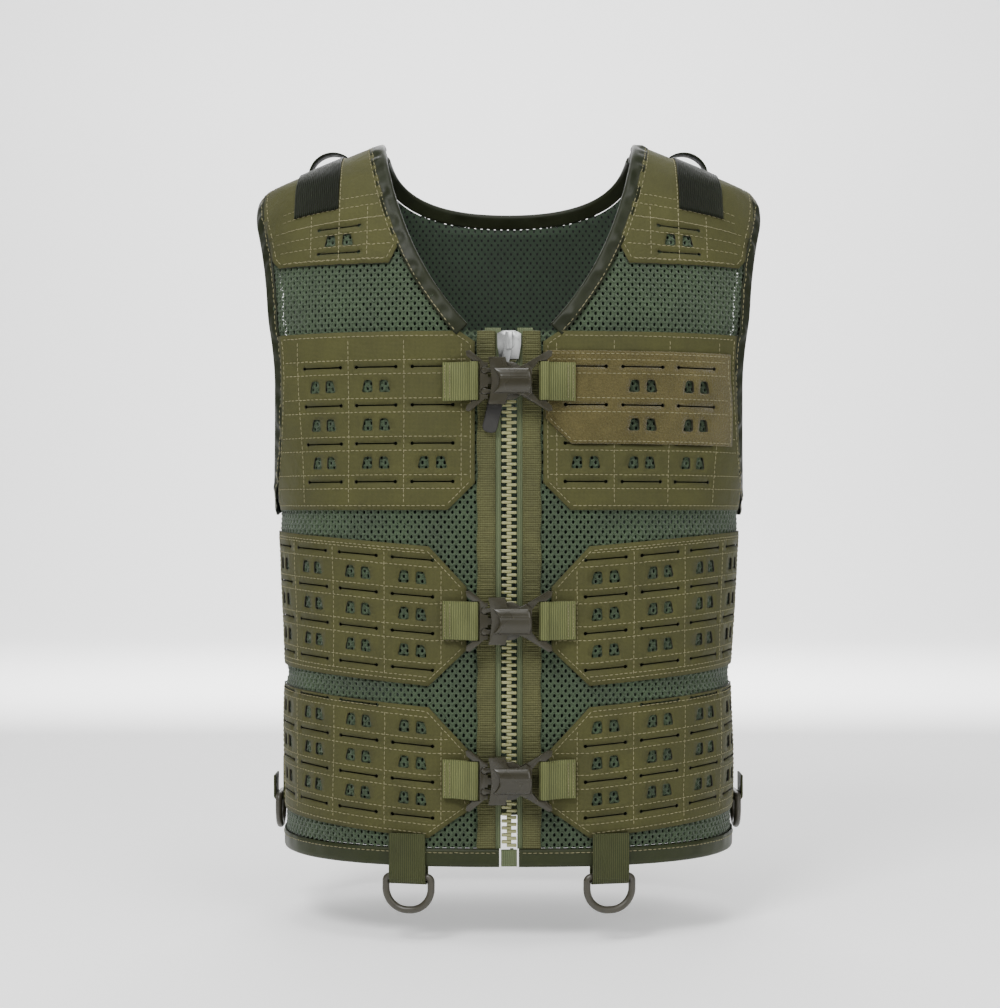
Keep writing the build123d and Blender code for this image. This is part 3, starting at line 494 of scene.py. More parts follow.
def add(tree: bpy.types.NodeTree, kind: str, settings: dict | None = None, **links) -> bpy.types.Node:
    """Adds one node.

    Args:
        tree: the material's node tree.
        kind: the node's type.
        settings: attributes of the node.
        links: socket names, with _ for a space, and each one's value or the socket that feeds it.
    Returns:
        The node.
    """
    node = tree.nodes.new("ShaderNode" + kind)
    for name, value in (settings or {}).items():
        setattr(node, name, value)
    for name, value in links.items():
        key = int(name[1:]) if name[0] == "_" and name[1:].isdigit() else name.replace("_", " ")
        if isinstance(value, bpy.types.NodeSocket):
            tree.links.new(value, node.inputs[key])
        else:
            node.inputs[key].default_value = value
    return node


class Weave(Enum):
    """How a finish's threads run."""

    PLAIN = "plain"
    TWILL = "twill"
    RIB_ACROSS = "rib across"
    RIB_ALONG = "rib along"
    KNIT = "knit"
    PILE = "pile"
    MOULDED = "moulded"
    SATIN = "satin"


@dataclass(frozen=True)
class Finish:
    """One material: its colours, its surface and the size of its pattern in millimetres."""

    name: str
    weave: Weave
    light: str
    dark: str
    thread: float = 1.0
    relief: float = 0.25
    roughness: float = 0.8
    sheen: float = 0.0
    metallic: float = 0.0
    on_flat: bool = True
    stain: float = 0.25
    specular: float = 0.35
    coat: float = 0.0
    wrinkle: float = 0.0

    def pattern(self, tree: bpy.types.NodeTree, place: bpy.types.NodeSocket) -> bpy.types.NodeSocket:
        """The height of the surface, from 0 in the gaps to 1 on the threads; build also darkens the gaps
        with it, as painted shade.

        Ribs are one sine band per thread; a plain weave is the higher of two crossed bands, and a
        twill a band that runs at 45 degrees; pile and moulded grain are noise.
        """
        scale = 1.0 / (self.thread * MM)
        if self.weave in (Weave.PILE, Weave.MOULDED):
            return add(
                tree, "TexNoise", Vector=place, Scale=scale, Detail=3.0, Roughness=0.6,
            ).outputs["Fac"]
        split = add(tree, "SeparateXYZ", Vector=place)
        jitter = add(tree, "TexNoise", Vector=place, Scale=scale / 7.0, Detail=2.0).outputs["Fac"]

        def band(value: bpy.types.NodeSocket, per: float) -> bpy.types.NodeSocket:
            """A sine band across one direction, its phase shaken by noise."""
            moved = add(
                tree, "Math", {"operation": "MULTIPLY_ADD"}, _0=value, _1=scale * per * math.tau, _2=0.0,
            )
            shaken = add(
                tree, "Math", {"operation": "MULTIPLY_ADD"}, _0=jitter, _1=2.2, _2=moved.outputs[0],
            )
            wave = add(tree, "Math", {"operation": "SINE"}, _0=shaken.outputs[0])
            return add(
                tree, "Math", {"operation": "MULTIPLY_ADD"}, _0=wave.outputs[0], _1=0.5, _2=0.5,
            ).outputs[0]

        x, y = split.outputs["X"], split.outputs["Y"]
        if self.weave is Weave.RIB_ALONG:
            return band(x, 1.0)
        if self.weave is Weave.RIB_ACROSS:
            fine = band(x, 1.0)
            return add(
                tree, "Math", {"operation": "MULTIPLY_ADD"}, _0=band(y, 1.0), _1=0.75,
                _2=add(tree, "Math", {"operation": "MULTIPLY"}, _0=fine, _1=0.25).outputs[0],
            ).outputs[0]
        if self.weave is Weave.TWILL:
            both = add(tree, "Math", {"operation": "ADD"}, _0=x, _1=y)
            return band(both.outputs[0], 0.7)
        if self.weave is Weave.SATIN:
            return add(
                tree, "Math", {"operation": "MULTIPLY_ADD"}, _0=band(x, 1.0), _1=0.35, _2=0.5,
            ).outputs[0]
        a, b = band(x, 1.0), band(y, 1.0)
        return add(tree, "Math", {"operation": "MAXIMUM"}, _0=a, _1=b).outputs[0]

    def build(self) -> bpy.types.Material:
        """Makes the material: threads and stains colour it, and the threads' height bumps it; the darker
        colour in the gaps between woven threads is painted shade.
        """
        material = bpy.data.materials.new(self.name)
        material.use_nodes = True
        tree = material.node_tree
        tree.nodes.clear()
        coords = add(tree, "TexCoord")
        place = coords.outputs["UV" if self.on_flat else "Object"]
        height = self.pattern(tree, place)
        wear = add(
            tree, "TexNoise", Vector=coords.outputs["Object"], Scale=38.0, Detail=4.0, Roughness=0.6,
        ).outputs["Fac"]
        mottle = add(
            tree, "TexNoise", Vector=coords.outputs["Object"], Scale=900.0, Detail=2.0,
        ).outputs["Fac"]
        # Colour by thread height: in a weave the dark gaps between threads are painted shade; in pile and
        # moulded grain the mix is random tone.
        threads = add(tree, "MapRange", _0=height, _1=0.0, _2=1.0, _3=0.0, _4=1.0)
        base = add(tree, "MixRGB", _0=threads.outputs[0], _1=linear(self.dark), _2=linear(self.light))
        shade = add(tree, "MapRange", _0=wear, _1=0.3, _2=0.7, _3=1.0 - self.stain, _4=1.0 + self.stain)
        grain = add(
            tree, "MapRange", _0=mottle, _1=0.3, _2=0.7, _3=1.0 - 0.6 * self.stain,
            _4=1.0 + 0.6 * self.stain,
        )
        both = add(tree, "Math", {"operation": "MULTIPLY"}, _0=shade.outputs[0], _1=grain.outputs[0])
        colour = add(tree, "VectorMath", {"operation": "SCALE"}, _0=base.outputs[0], Scale=both.outputs[0])
        rough = add(
            tree, "MapRange", _0=wear, _1=0.3, _2=0.7, _3=self.roughness - 0.07,
            _4=min(1.0, self.roughness + 0.07),
        )
        folds = add(
            tree, "TexNoise", Vector=coords.outputs["Object"], Scale=55.0, Detail=3.0, Roughness=0.5,
            Distortion=0.6,
        ).outputs["Fac"]
        soft = add(tree, "Bump", Strength=1.0, Distance=self.wrinkle * MM, Height=folds)
        bump = add(
            tree, "Bump", Strength=0.9, Distance=self.relief * MM, Height=height, Normal=soft.outputs[0],
        )
        shader = add(
            tree, "BsdfPrincipled", Base_Color=colour.outputs[0], Roughness=rough.outputs[0],
            Normal=bump.outputs[0],
        )
        shader.inputs["Metallic"].default_value = self.metallic
        shader.inputs["Sheen Weight"].default_value = self.sheen
        shader.inputs["Sheen Roughness"].default_value = 0.5
        if not self.metallic:
            shader.inputs["Specular IOR Level"].default_value = self.specular
        shader.inputs["Coat Weight"].default_value = self.coat
        out = add(tree, "OutputMaterial")
        tree.links.new(shader.outputs[0], out.inputs[0])
        return material


@dataclass(frozen=True)
class Knit(Finish):
    """The air mesh seen from inside: a knit with a staggered lattice of holes, painted near-black as the
    shade seen through them.
    """

    across: float = 5.0
    down: float = 6.6

    def pattern(self, tree: bpy.types.NodeTree, place: bpy.types.NodeSocket) -> bpy.types.NodeSocket:
        """Product of two cosines, one per direction, which peaks on a staggered lattice; the peaks become
        the holes, low and painted dark as shade.
        """
        split = add(tree, "SeparateXYZ", Vector=place)

        def wave(value: bpy.types.NodeSocket, period: float) -> bpy.types.NodeSocket:
            """A cosine of a given period in millimetres."""
            turned = add(tree, "Math", {"operation": "MULTIPLY"}, _0=value, _1=math.tau / (period * MM))
            return add(tree, "Math", {"operation": "COSINE"}, _0=turned.outputs[0]).outputs[0]

        both = add(
            tree, "Math", {"operation": "MULTIPLY"}, _0=wave(split.outputs["X"], self.across),
            _1=wave(split.outputs["Y"], self.down),
        )
        return add(
            tree, "MapRange", {"interpolation_type": "SMOOTHSTEP"}, _0=both.outputs[0], _1=0.75, _2=0.35,
            _3=0.0, _4=1.0,
        ).outputs[0]


class Finishes:
    """Every material, built once."""

    def __init__(self) -> None:
        """Builds the materials."""
        # Knitted polyester spacer mesh: matt, with a faint sheen on the loops.
        self.mesh = Finish(
            "knitted_polyester_spacer_mesh", Weave.TWILL, "#3c4b33", "#1d2a1a", 0.55, 0.12, 0.78,
            sheen=0.15, stain=0.2,
        ).build()
        # The inner face's holes are painted: near-black dots stand for the shade seen through them.
        self.mesh_inside = Knit(
            "knitted_polyester_mesh_inside", Weave.KNIT, "#283527", "#080d08", 0.8, 0.5, 0.85, sheen=0.1,
            stain=0.15,
        ).build()
        # The lining's outer side, seen through the mesh's holes: its near-black colour is painted shade in
        # the holes.
        self.mesh_hole_shade = Finish(
            "spacer_mesh_core_yarn", Weave.PILE, "#1c261d", "#0c120d", 0.9, 0.3, 0.95, on_flat=False,
            stain=0.2,
        ).build()
        # Coated nylon cloth, woven and then laser cut: matt threads, with melted dark cut edges.
        self.panel = Finish(
            "woven_coated_nylon", Weave.PLAIN, "#404023", "#2b2b15", 0.85, 0.12, 0.75, sheen=0.03,
            specular=0.15, stain=0.13, wrinkle=1.6,
        ).build()
        self.cut_edge = Finish(
            "laser_melted_nylon_edge", Weave.MOULDED, "#242215", "#14130b", 0.8, 0.1, 0.6, on_flat=False,
        ).build()
        self.thread = Finish(
            "polyester_sewing_thread", Weave.MOULDED, "#7e7a5c", "#676247", 0.5, 0.05, 0.7, on_flat=False,
            stain=0.15,
        ).build()
        # Satin-woven binding tape: long floats give it a soft shine.
        self.satin = Finish(
            "satin_woven_binding_tape", Weave.SATIN, "#171c08", "#0d0f03", 0.7, 0.08, 0.5, sheen=0.02,
            stain=0.2, specular=0.18,
        ).build()
        self.hem = Finish(
            "satin_woven_hem_tape", Weave.SATIN, "#252a13", "#181c0a", 0.8, 0.08, 0.5, sheen=0.02,
            stain=0.18, specular=0.18,
        ).build()
        self.webbing = Finish(
            "woven_nylon_webbing", Weave.RIB_ALONG, "#5e623c", "#3f4328", 1.5, 0.35, 0.6, sheen=0.02,
            on_flat=False, specular=0.15, stain=0.12,
        ).build()
        self.ring_webbing = Finish(
            "woven_nylon_ring_webbing", Weave.RIB_ALONG, "#3d4024", "#242916", 1.3, 0.3, 0.6, sheen=0.02,
            on_flat=False, specular=0.15, stain=0.12,
        ).build()
        self.elastic = Finish(
            "ribbed_woven_elastic", Weave.RIB_ALONG, "#121806", "#040601", 1.35, 0.5, 0.6, sheen=0.02,
            specular=0.15, stain=0.15,
        ).build()
        self.loop = Finish(
            "brushed_nylon_loop_pile", Weave.PILE, "#5d5634", "#322d18", 1.1, 1.6, 0.95, sheen=0.15,
            specular=0.05, stain=0.2,
        ).build()
        self.placket = Finish(
            "grosgrain_ribbed_tape", Weave.RIB_ACROSS, "#4f5034", "#33331c", 1.5, 0.3, 0.75, sheen=0.02,
            specular=0.15, stain=0.2,
        ).build()
        self.zip_tape = Finish(
            "woven_polyester_zip_tape", Weave.TWILL, "#4e573a", "#373f26", 0.9, 0.2, 0.7, sheen=0.1,
            on_flat=False, stain=0.12,
        ).build()
        # Injection-moulded acetal: a slight gloss.
        self.teeth = Finish(
            "moulded_acetal_zip_teeth", Weave.MOULDED, "#86865c", "#6a6a41", 0.5, 0.02, 0.3, on_flat=False,
            stain=0.12, specular=0.5,
        ).build()
        self.zinc = Finish(
            "die_cast_zinc_polished", Weave.MOULDED, "#a2a3a1", "#848585", 0.8, 0.0, 0.42, metallic=1.0,
            on_flat=False, stain=0.06,
        ).build()
        self.rubber = Finish(
            "moulded_soft_rubber", Weave.MOULDED, "#252421", "#171614", 0.4, 0.05, 0.55, on_flat=False,
            stain=0.12,
        ).build()
        self.plastic = Finish(
            "moulded_acetal_olive_brown", Weave.MOULDED, "#282517", "#1e1c11", 0.35, 0.012, 0.3,
            on_flat=False, stain=0.08, specular=0.4,
        ).build()
        self.ring = Finish(
            "moulded_nylon_ring", Weave.MOULDED, "#353226", "#27241b", 0.45, 0.04, 0.42, on_flat=False,
            stain=0.12, specular=0.5,
        ).build()


# ---------------------------------------------------------------- stitches
@dataclass
class Stitching:
    """Lock stitches along lines on the cut: short rounded bars of thread with a gap after each."""

    pitch: float = 3.3
    length: float = 2.5
    radius: float = 0.3
    seed: int = 7
    starts: list = field(default_factory=list)
    ends: list = field(default_factory=list)

    def line(self, *corners: tuple[float, float]) -> None:
        """Sews along a run of straight lines between flat points."""
        for a, b in zip(corners, corners[1:]):
            a, b = np.array(a, dtype=float), np.array(b, dtype=float)
            reach = float(np.linalg.norm(b - a))
            count = int(reach / self.pitch)
            if count < 1:
                continue
            along = (b - a) / reach
            first = a + along * ((reach - count * self.pitch) / 2)
            step = first + along * (np.arange(count) * self.pitch)[:, None]
            self.starts.append(step)
            self.ends.append(step + along * self.length)

    def build(
        self, name: str, lay: Callable[[Array, Array, float], tuple[Array, Array]], height: float,
    ) -> bpy.types.Object:
        """Makes every stitch as one piece: three rings of four points, sunk at both ends.

        Args:
            name: the piece's name.
            lay: puts flat points on the form at a lift.
            height: how high the cloth's face is.
        Returns:
            The piece.
        """
        a, b = np.concatenate(self.starts), np.concatenate(self.ends)
        random = np.random.default_rng(self.seed)
        a = a + random.normal(0, 0.09, a.shape)
        b = b + random.normal(0, 0.09, b.shape)
        along = (b - a) / np.linalg.norm(b - a, axis=1, keepdims=True)
        side = np.stack([-along[:, 1], along[:, 0]], axis=1)
        rings = []
        for share, wide, lift in ((0.0, 0.45, -0.05), (0.5, 1.0, 0.18), (1.0, 0.45, -0.05)):
            middle = a + (b - a) * share
            for across, up in ((-1.0, -0.1), (0.0, 1.0), (1.0, -0.1), (0.0, -1.2)):
                at = middle + side * (across * self.radius * wide)
                rings.append(lay(at[:, 0], at[:, 1], height + lift + up * self.radius * wide)[0])
        points = np.stack(rings, axis=1)
        ring = grid_faces(3, 4, closed=True)
        caps = np.array([[3, 2, 1, 0], [8, 9, 10, 11]])
        unit = np.concatenate([ring, caps])
        faces = (unit[None] + (np.arange(len(points)) * 12)[:, None, None]).reshape(-1, 4)
        return outward(make_object(name, points.reshape(-1, 3), faces))


# ---------------------------------------------------------------- laser-cut panels
@dataclass(frozen=True)
class Slit:
    """A laser-cut slot for webbing, with a small round eye at each end."""

    length: float = 27.0
    width: float = 0.9
    eye: float = 1.25

    def outline(self, u: float, v: float) -> Array:
        """A thin bar whose ends open into half rounds."""
        half, w, r = self.length / 2, self.width / 2, self.eye
        turn = np.linspace(-2.2, 2.2, 7)
        right = np.stack([half + r * np.cos(turn), r * np.sin(turn)], axis=1)
        left = -right
        foot, head = [[-half + r, -w], [half - r, -w]], [[half - r, w], [-half + r, w]]
        return np.concatenate([foot, right, head, left]) + (u, v)


@dataclass(frozen=True)
class HolePair:
    """Two rounded trapezoids side by side, each wider at its foot."""

    height: float = 8.2
    foot: float = 7.6
    top: float = 4.6
    apart: float = 11.4
    corner: float = 1.4

    def outlines(self, u: float, v: float) -> list[Array]:
        """The pair's outlines: four corners each, cut back at 45 degrees and rounded by a mid point."""
        shapes = []
        for side in (-1.0, 1.0):
            h, inner = self.height / 2, self.apart / 2 - self.foot / 2 + 0.3
            corners = np.array([
                (inner, -h), (inner + self.foot, -h), (
                    inner + 0.45 * self.foot + 0.5 * self.top, h,
                ), (inner + 0.5, h),
            ]) * (side, 1.0)
            ring = []
            for k in range(4):
                here, before, after = corners[k], corners[k - 1], corners[(k + 1) % 4]
                a = here + (before - here) / np.linalg.norm(before - here) * self.corner
                b = here + (after - here) / np.linalg.norm(after - here) * self.corner
                ring += [a, (a + b) / 2 * 0.55 + here * 0.45, b]
            shapes.append(np.array(ring) + (u, v))
        return shapes


class Layer:
    """Distances from the inside of the mesh, in millimetres."""

    MESH_TOP = 3.0
    PANEL = 4.5
    PATCH = 5.8
    ELASTIC = 6.0
    BINDING_TOP = 4.6
    BINDING_BOTTOM = -0.8


@dataclass
class CutPanel:
    """One laser-cut cloth panel: its outline, its columns and rows of cuts, and its seams."""

    name: str
    outline: list[tuple[float, float]]
    columns: Sequence[float] = ()
    slots: Sequence[float] = ()
    pairs: Sequence[float] = ()
    skip: Sequence[tuple[int, int]] = ()
    face: Face = Face.FRONT
    rises: bool = False
    lift: float = Layer.PANEL
    thickness: float = 1.2
    step: float = 5.0
    slot_name: str = "panel_fabric"
    over_strap: float = 0.0
    seam_inset: float = 3.0
    extra_seams: Sequence = ()
    column_pitch: float = 38.1
    sewn: bool = True

    def lay(self, u: Array, v: Array, lift: float) -> tuple[Array, Array]:
        """Lays flat points on the form: round the body, or over the shoulder."""
        if self.over_strap:
            across = np.asarray(u, dtype=float)
            base = FORM.over(across * self.over_strap, v * FORM.strap_share(across)).reshape(-1, 3)
            normals = FORM.normal(base)
            return base + normals * lift, normals
        return laid(u, v, lift, self.face, self.rises)

    def holes(self) -> list[Array]:
        """Every slit and hole of the panel."""
        found = [Slit().outline(u, v) for u in self.columns for v in self.slots]
        for i, u in enumerate(self.columns):
            for j, v in enumerate(self.pairs):
                if (i, j) not in self.skip:
                    found += HolePair().outlines(u, v)
        rim = np.array(self.outline)
        return [hole for hole in found if inside(hole, rim).all() and inside(grown(hole, 1.2), rim).all()]

    def seams(self) -> Stitching:
        """Rows beside every slot, lines between the columns, and a row inside the rim."""
        sewing = Stitching()
        rim = np.array(self.outline, dtype=float)
        inner = inset(rim, self.seam_inset)
        sewing.line(*[tuple(p) for p in inner], tuple(inner[0]))
        low, high = rim.min(axis=0) + self.seam_inset, rim.max(axis=0) - self.seam_inset
        for v in self.slots:
            for off in (-4.6, 4.6):
                ends = crossings(inner, v + off)
                if ends:
                    sewing.line((ends[0] + 1.0, v + off), (ends[1] - 1.0, v + off))
        borders = [u - self.column_pitch / 2 for u in self.columns]
        borders += [self.columns[-1] + self.column_pitch / 2] if len(self.columns) else []
        for u in borders:
            ends = crossings(inner[:, ::-1], u)
            if ends and abs(ends[1] - ends[0]) > 12.0 and low[0] < u < high[0]:
                sewing.line((u, ends[0] + 1.0), (u, ends[1] - 1.0))
        for seam in self.extra_seams:
            sewing.line(*seam)
        return sewing

    def build(
        self, finish: bpy.types.Material, edge: bpy.types.Material, thread: bpy.types.Material, cad: str,
    ) -> bpy.types.Object:
        """Cuts, lays and dresses the panel, and sews it.

        Args:
            finish: the cloth.
            edge: the cut edge.
            thread: the stitches.
            cad: the CAD node that the panel stands for.
        Returns:
            The panel.
        """
        rim = np.array(self.outline, dtype=float)
        flat, tris = cut_blank(rim, self.holes(), self.step)
        points, normals = self.lay(flat[:, 0], flat[:, 1], self.lift)
        piece = make_object(self.name, points, facing(points, tris, normals), flat)
        piece.data.materials.append(finish)
        piece.data.materials.append(edge)
        thicken(piece, self.thickness, rim=1)
        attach(piece, "vest")
        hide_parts(cad)
        if self.sewn:
            seams = self.seams().build(self.name + "_stitches", self.lay, self.lift)
            seams.data.materials.append(thread)
            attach(seams, "vest")
        return piece


def grown(shape: Array, by: float) -> Array:
    """A small shape, grown about its middle by a distance."""
    middle = shape.mean(axis=0)
    away = shape - middle
    return middle + away * (1 + by / np.linalg.norm(away, axis=1, keepdims=True))


def inset(outline: Array, by: float) -> Array:
    """An outline moved inwards: each corner goes to where its two moved edges meet."""
    area = np.sum(outline[:, 0] * np.roll(outline[:, 1], -1) - outline[:, 1] * np.roll(outline[:, 0], -1))
    turn = 1.0 if area > 0 else -1.0
    before, after = np.roll(outline, 1, axis=0), np.roll(outline, -1, axis=0)
    a, b = outline - before, after - outline
    a, b = a / np.linalg.norm(a, axis=1, keepdims=True), b / np.linalg.norm(b, axis=1, keepdims=True)
    na, nb = turn * np.stack([-a[:, 1], a[:, 0]], axis=1), turn * np.stack([-b[:, 1], b[:, 0]], axis=1)
    middle = na + nb
    return outline + middle * (by / np.maximum(0.3, 1 + np.einsum("ij,ij->i", na, nb)))[:, None]


def crossings(outline: Array, level: float) -> list[float]:
    """The first and last place where an outline crosses a level of its second coordinate."""
    a, b = outline, np.roll(outline, -1, axis=0)
    hit = (a[:, 1] > level) != (b[:, 1] > level)
    if hit.sum() < 2:
        return []
    at = a[hit, 0] + (level - a[hit, 1]) / (b[hit, 1] - a[hit, 1]) * (b[hit, 0] - a[hit, 0])
    return [float(at.min()), float(at.max())]


# ---------------------------------------------------------------- openings
@dataclass(frozen=True)
class Openings:
    """The neckline, seen from the front, and the oval armholes, seen from the side."""

    front_neck: tuple = ((28.0, 360.0), (62.2, 394.5), (79.6, 442.8), (88.0, 498.0))
    back_neck: tuple = ((0.0, 459.0), (52.8, 459.0), (86.0, 470.7), (88.0, 498.0))
    arm_centre: float = 350.1
    arm_half_height: float = 107.1
    arm_half_depth: float = 68.0
    arm_reach: float = 98.0

    def neck_curve(self, face: Face, count: int = 40) -> Array:
        """Half a neckline as a cubic Bezier curve in (x, z)."""
        t = np.linspace(0, 1, count)[:, None]
        p = np.array(self.front_neck if face is Face.FRONT else self.back_neck)
        return (
            (1 - t) ** 3 * p[0] + 3 * (1 - t) ** 2 * t * p[1]
            + 3 * (1 - t) * t ** 2 * p[2] + t ** 3 * p[3]
        )

    def neck_clear(self, points: Array, by: float) -> Array:
        """Whether places are outside the neck opening grown by a distance."""
        clear = np.ones(len(points), dtype=bool)
        for face in Face:
            curve = self.neck_curve(face)
            step = np.gradient(curve, axis=0)
            step /= np.linalg.norm(step, axis=1, keepdims=True)
            moved = curve + np.stack([step[:, 1], -step[:, 0]], axis=1) * by
            half = np.concatenate([[[0.0, moved[0, 1]]], moved, [[moved[-1, 0], 600.0], [0.0, 600.0]]])
            here = points[:, 1] * face.value > 0
            clear &= ~(here & inside(np.stack([np.abs(points[:, 0]), points[:, 2]], axis=1), half))
        return clear

    def arm_clear(self, points: Array, by: float) -> Array:
        """Whether places are outside both armholes grown by a distance."""
        across = points[:, 1] / (self.arm_half_depth + by)
        up = (points[:, 2] - self.arm_centre) / (self.arm_half_height + by)
        oval = across ** 2 + up ** 2
        return (oval > 1.0) | (np.abs(points[:, 0]) < self.arm_reach)


OPENINGS = Openings()


# ---------------------------------------------------------------- air mesh
@dataclass
class AirMesh:
    """The spacer mesh: an outer face of hexagonal loops round open holes, and a smooth inner face."""

    across: float = 5.0
    down: float = 3.3
    hole_half_width: float = 0.95
    hole_half_height: float = 1.55
    floor: float = 1.3
    seed: int = 3

    def tile(self) -> tuple[Array, Array, Array]:
        """One loop: the hexagon that a lattice point owns, the hole's rim, and the hole's foot.

        Returns:
            Flat places, lifts, and faces.
        """
        v = (self.down ** 2 - (self.across / 2) ** 2) / (2 * self.down)
        top, half = self.down - v, self.across / 2
        outer = np.array([(0, top), (half, v), (half, -v), (0, -top), (-half, -v), (-half, v)])
        w, h = self.hole_half_width, self.hole_half_height
        hole = np.array([(0, h), (w, 0.5 * h), (w, -0.5 * h), (0, -h), (-w, -0.5 * h), (-w, 0.5 * h)])
        flat = np.concatenate([outer, hole, hole * 0.85])
        lifts = np.concatenate([[3.45, 2.6, 2.6, 3.45, 2.6, 2.6], [2.85] * 6, [self.floor] * 6])
        ring = np.arange(6)
        after = (ring + 1) % 6
        faces = np.concatenate([
            np.stack([ring, ring + 6, after + 6, after], axis=1),
            np.stack([ring + 6, ring + 12, after + 12, after + 6], axis=1),
        ])
        return flat, lifts, faces

    def outer_face(
        self, name: str, face: Face, side: Side | None, covered: Callable[[Array, Array], Array], node: str,
        finish: bpy.types.Material,
    ) -> bpy.types.Object:
        """Lays the perforated face where it shows.

        Args:
            name: the piece's name.
            face: the front or the back.
            side: the half of the front, or None for the whole back.
            covered: tells which flat places lie under solid cloth.
            node: the CAD node it stands for.
            finish: the knit.
        Returns:
            The piece.
        """
        rows = np.arange(14.5, 470.0, self.down)
        columns = np.arange(-52, 53) * self.across
        u, v = np.meshgrid(columns, rows)
        u = u + (np.arange(len(rows)) % 2)[:, None] * self.across / 2
        u, v = u.ravel(), v.ravel()
        if side is not None:
            u = np.abs(u) * side.value
        centres = np.unique(np.round(np.stack([u, v], axis=1), 3), axis=0)
        base = FORM.wrap(centres[:, 0], centres[:, 1], face)
        keep = OPENINGS.neck_clear(base, 5.0) & OPENINGS.arm_clear(base, 5.0)
        keep &= np.abs(centres[:, 0]) < FORM.side_at(centres[:, 1]) + 1.5
        keep &= ~((base[:, 2] > 440.0) & (np.abs(base[:, 0]) > 66.0))
        if face is Face.FRONT:
            keep &= np.abs(base[:, 0]) > 19.5
        keep &= ~covered(centres[:, 0], centres[:, 1])
        centres = centres[keep]
        tile, lifts, unit = self.tile()
        flat = (centres[:, None] + tile[None]).reshape(-1, 2)
        lift = np.tile(lifts, len(centres))
        faces = (unit[None] + (np.arange(len(centres)) * len(tile))[:, None, None]).reshape(-1, 4)
        _, first, index = np.unique(
            np.round(np.column_stack([flat, lift]), 2), axis=0, return_index=True, return_inverse=True,
        )
        flat, lift, faces = flat[first], lift[first], index.ravel()[faces]
        sway = np.random.default_rng(self.seed).normal(0, 0.07, flat.shape)
        flat = flat + sway
        points, _ = laid(flat[:, 0], flat[:, 1], lift, face)
        if face is Face.BACK:
            faces = faces[:, ::-1]
        piece = make_object(name, points, faces[:, ::-1], flat)
        piece.data.materials.append(finish)
        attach(piece, "vest")
        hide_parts(node)
        LOG.info("%s: %d holes", name, len(centres))
        return piece

    def inner_face(self, name: str, node: str, finishes: Finishes) -> bpy.types.Object:
        """The mesh's smooth inner face, taken from the CAD solid's own inner surface.

        Args:
            name: the piece's name.
            node: the CAD solid.
            finishes: the materials.
        Returns:
            The piece.
        """
        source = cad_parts[node].data
        points = np.empty(len(source.vertices) * 3)
        source.vertices.foreach_get("co", points)
        points = points.reshape(-1, 3) / MM
        faces = np.empty(len(source.loops), dtype=np.int32)
        source.loops.foreach_get("vertex_index", faces)
        faces = faces.reshape(-1, 3)
        settled = FORM.settle(points)
        lift = np.einsum("ij,ij->i", points - settled, FORM.normal(settled))
        faces = faces[(np.abs(lift[faces]) < 0.9).all(axis=1)]
        used, index = np.unique(faces, return_inverse=True)
        points, faces = settled[used], index.reshape(-1, 3)
        points, index = np.unique(np.round(points, 3), axis=0, return_inverse=True)
        faces = index.ravel()[faces]
        faces = faces[
            (faces[:, 0] != faces[:, 1]) & (faces[:, 1] != faces[:, 2]) & (faces[:, 2] != faces[:, 0])
        ]
        normals = FORM.normal(points)
        flat = np.stack([self.arc_at(points), points[:, 2]], axis=1)
        points = points + normals * 0.25
        piece = make_object(name, points, facing(points, faces, normals), flat)
        # The outer side, seen through the holes, takes the painted hole shade; the inner side takes the
        # knit.
        piece.data.materials.append(finishes.mesh_hole_shade)
        piece.data.materials.append(finishes.mesh_inside)
        thicken(piece, 0.7, shell=1)
        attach(piece, "vest")
        return piece

    @staticmethod
    def arc_at(points: Array) -> Array:
        """The arc length from the middle of the front or back at some places, read off the level's table."""
        turn = np.arctan2(
            np.abs(points[:, 0]) / FORM.half_width(points[:, 2])[0],
            np.abs(points[:, 1]) / FORM.half_depth(points[:, 2])[0]
        )
        row = np.clip(
            ((points[:, 2] - FORM.heights[0]) / FORM.levels[2]).astype(int), 0, len(FORM.heights) - 1,
        )
        arc = np.array([np.interp(t, FORM.turns[r, ::4], FORM.arcs[::4]) for t, r in zip(turn, row)])
        return arc * np.sign(points[:, 0])


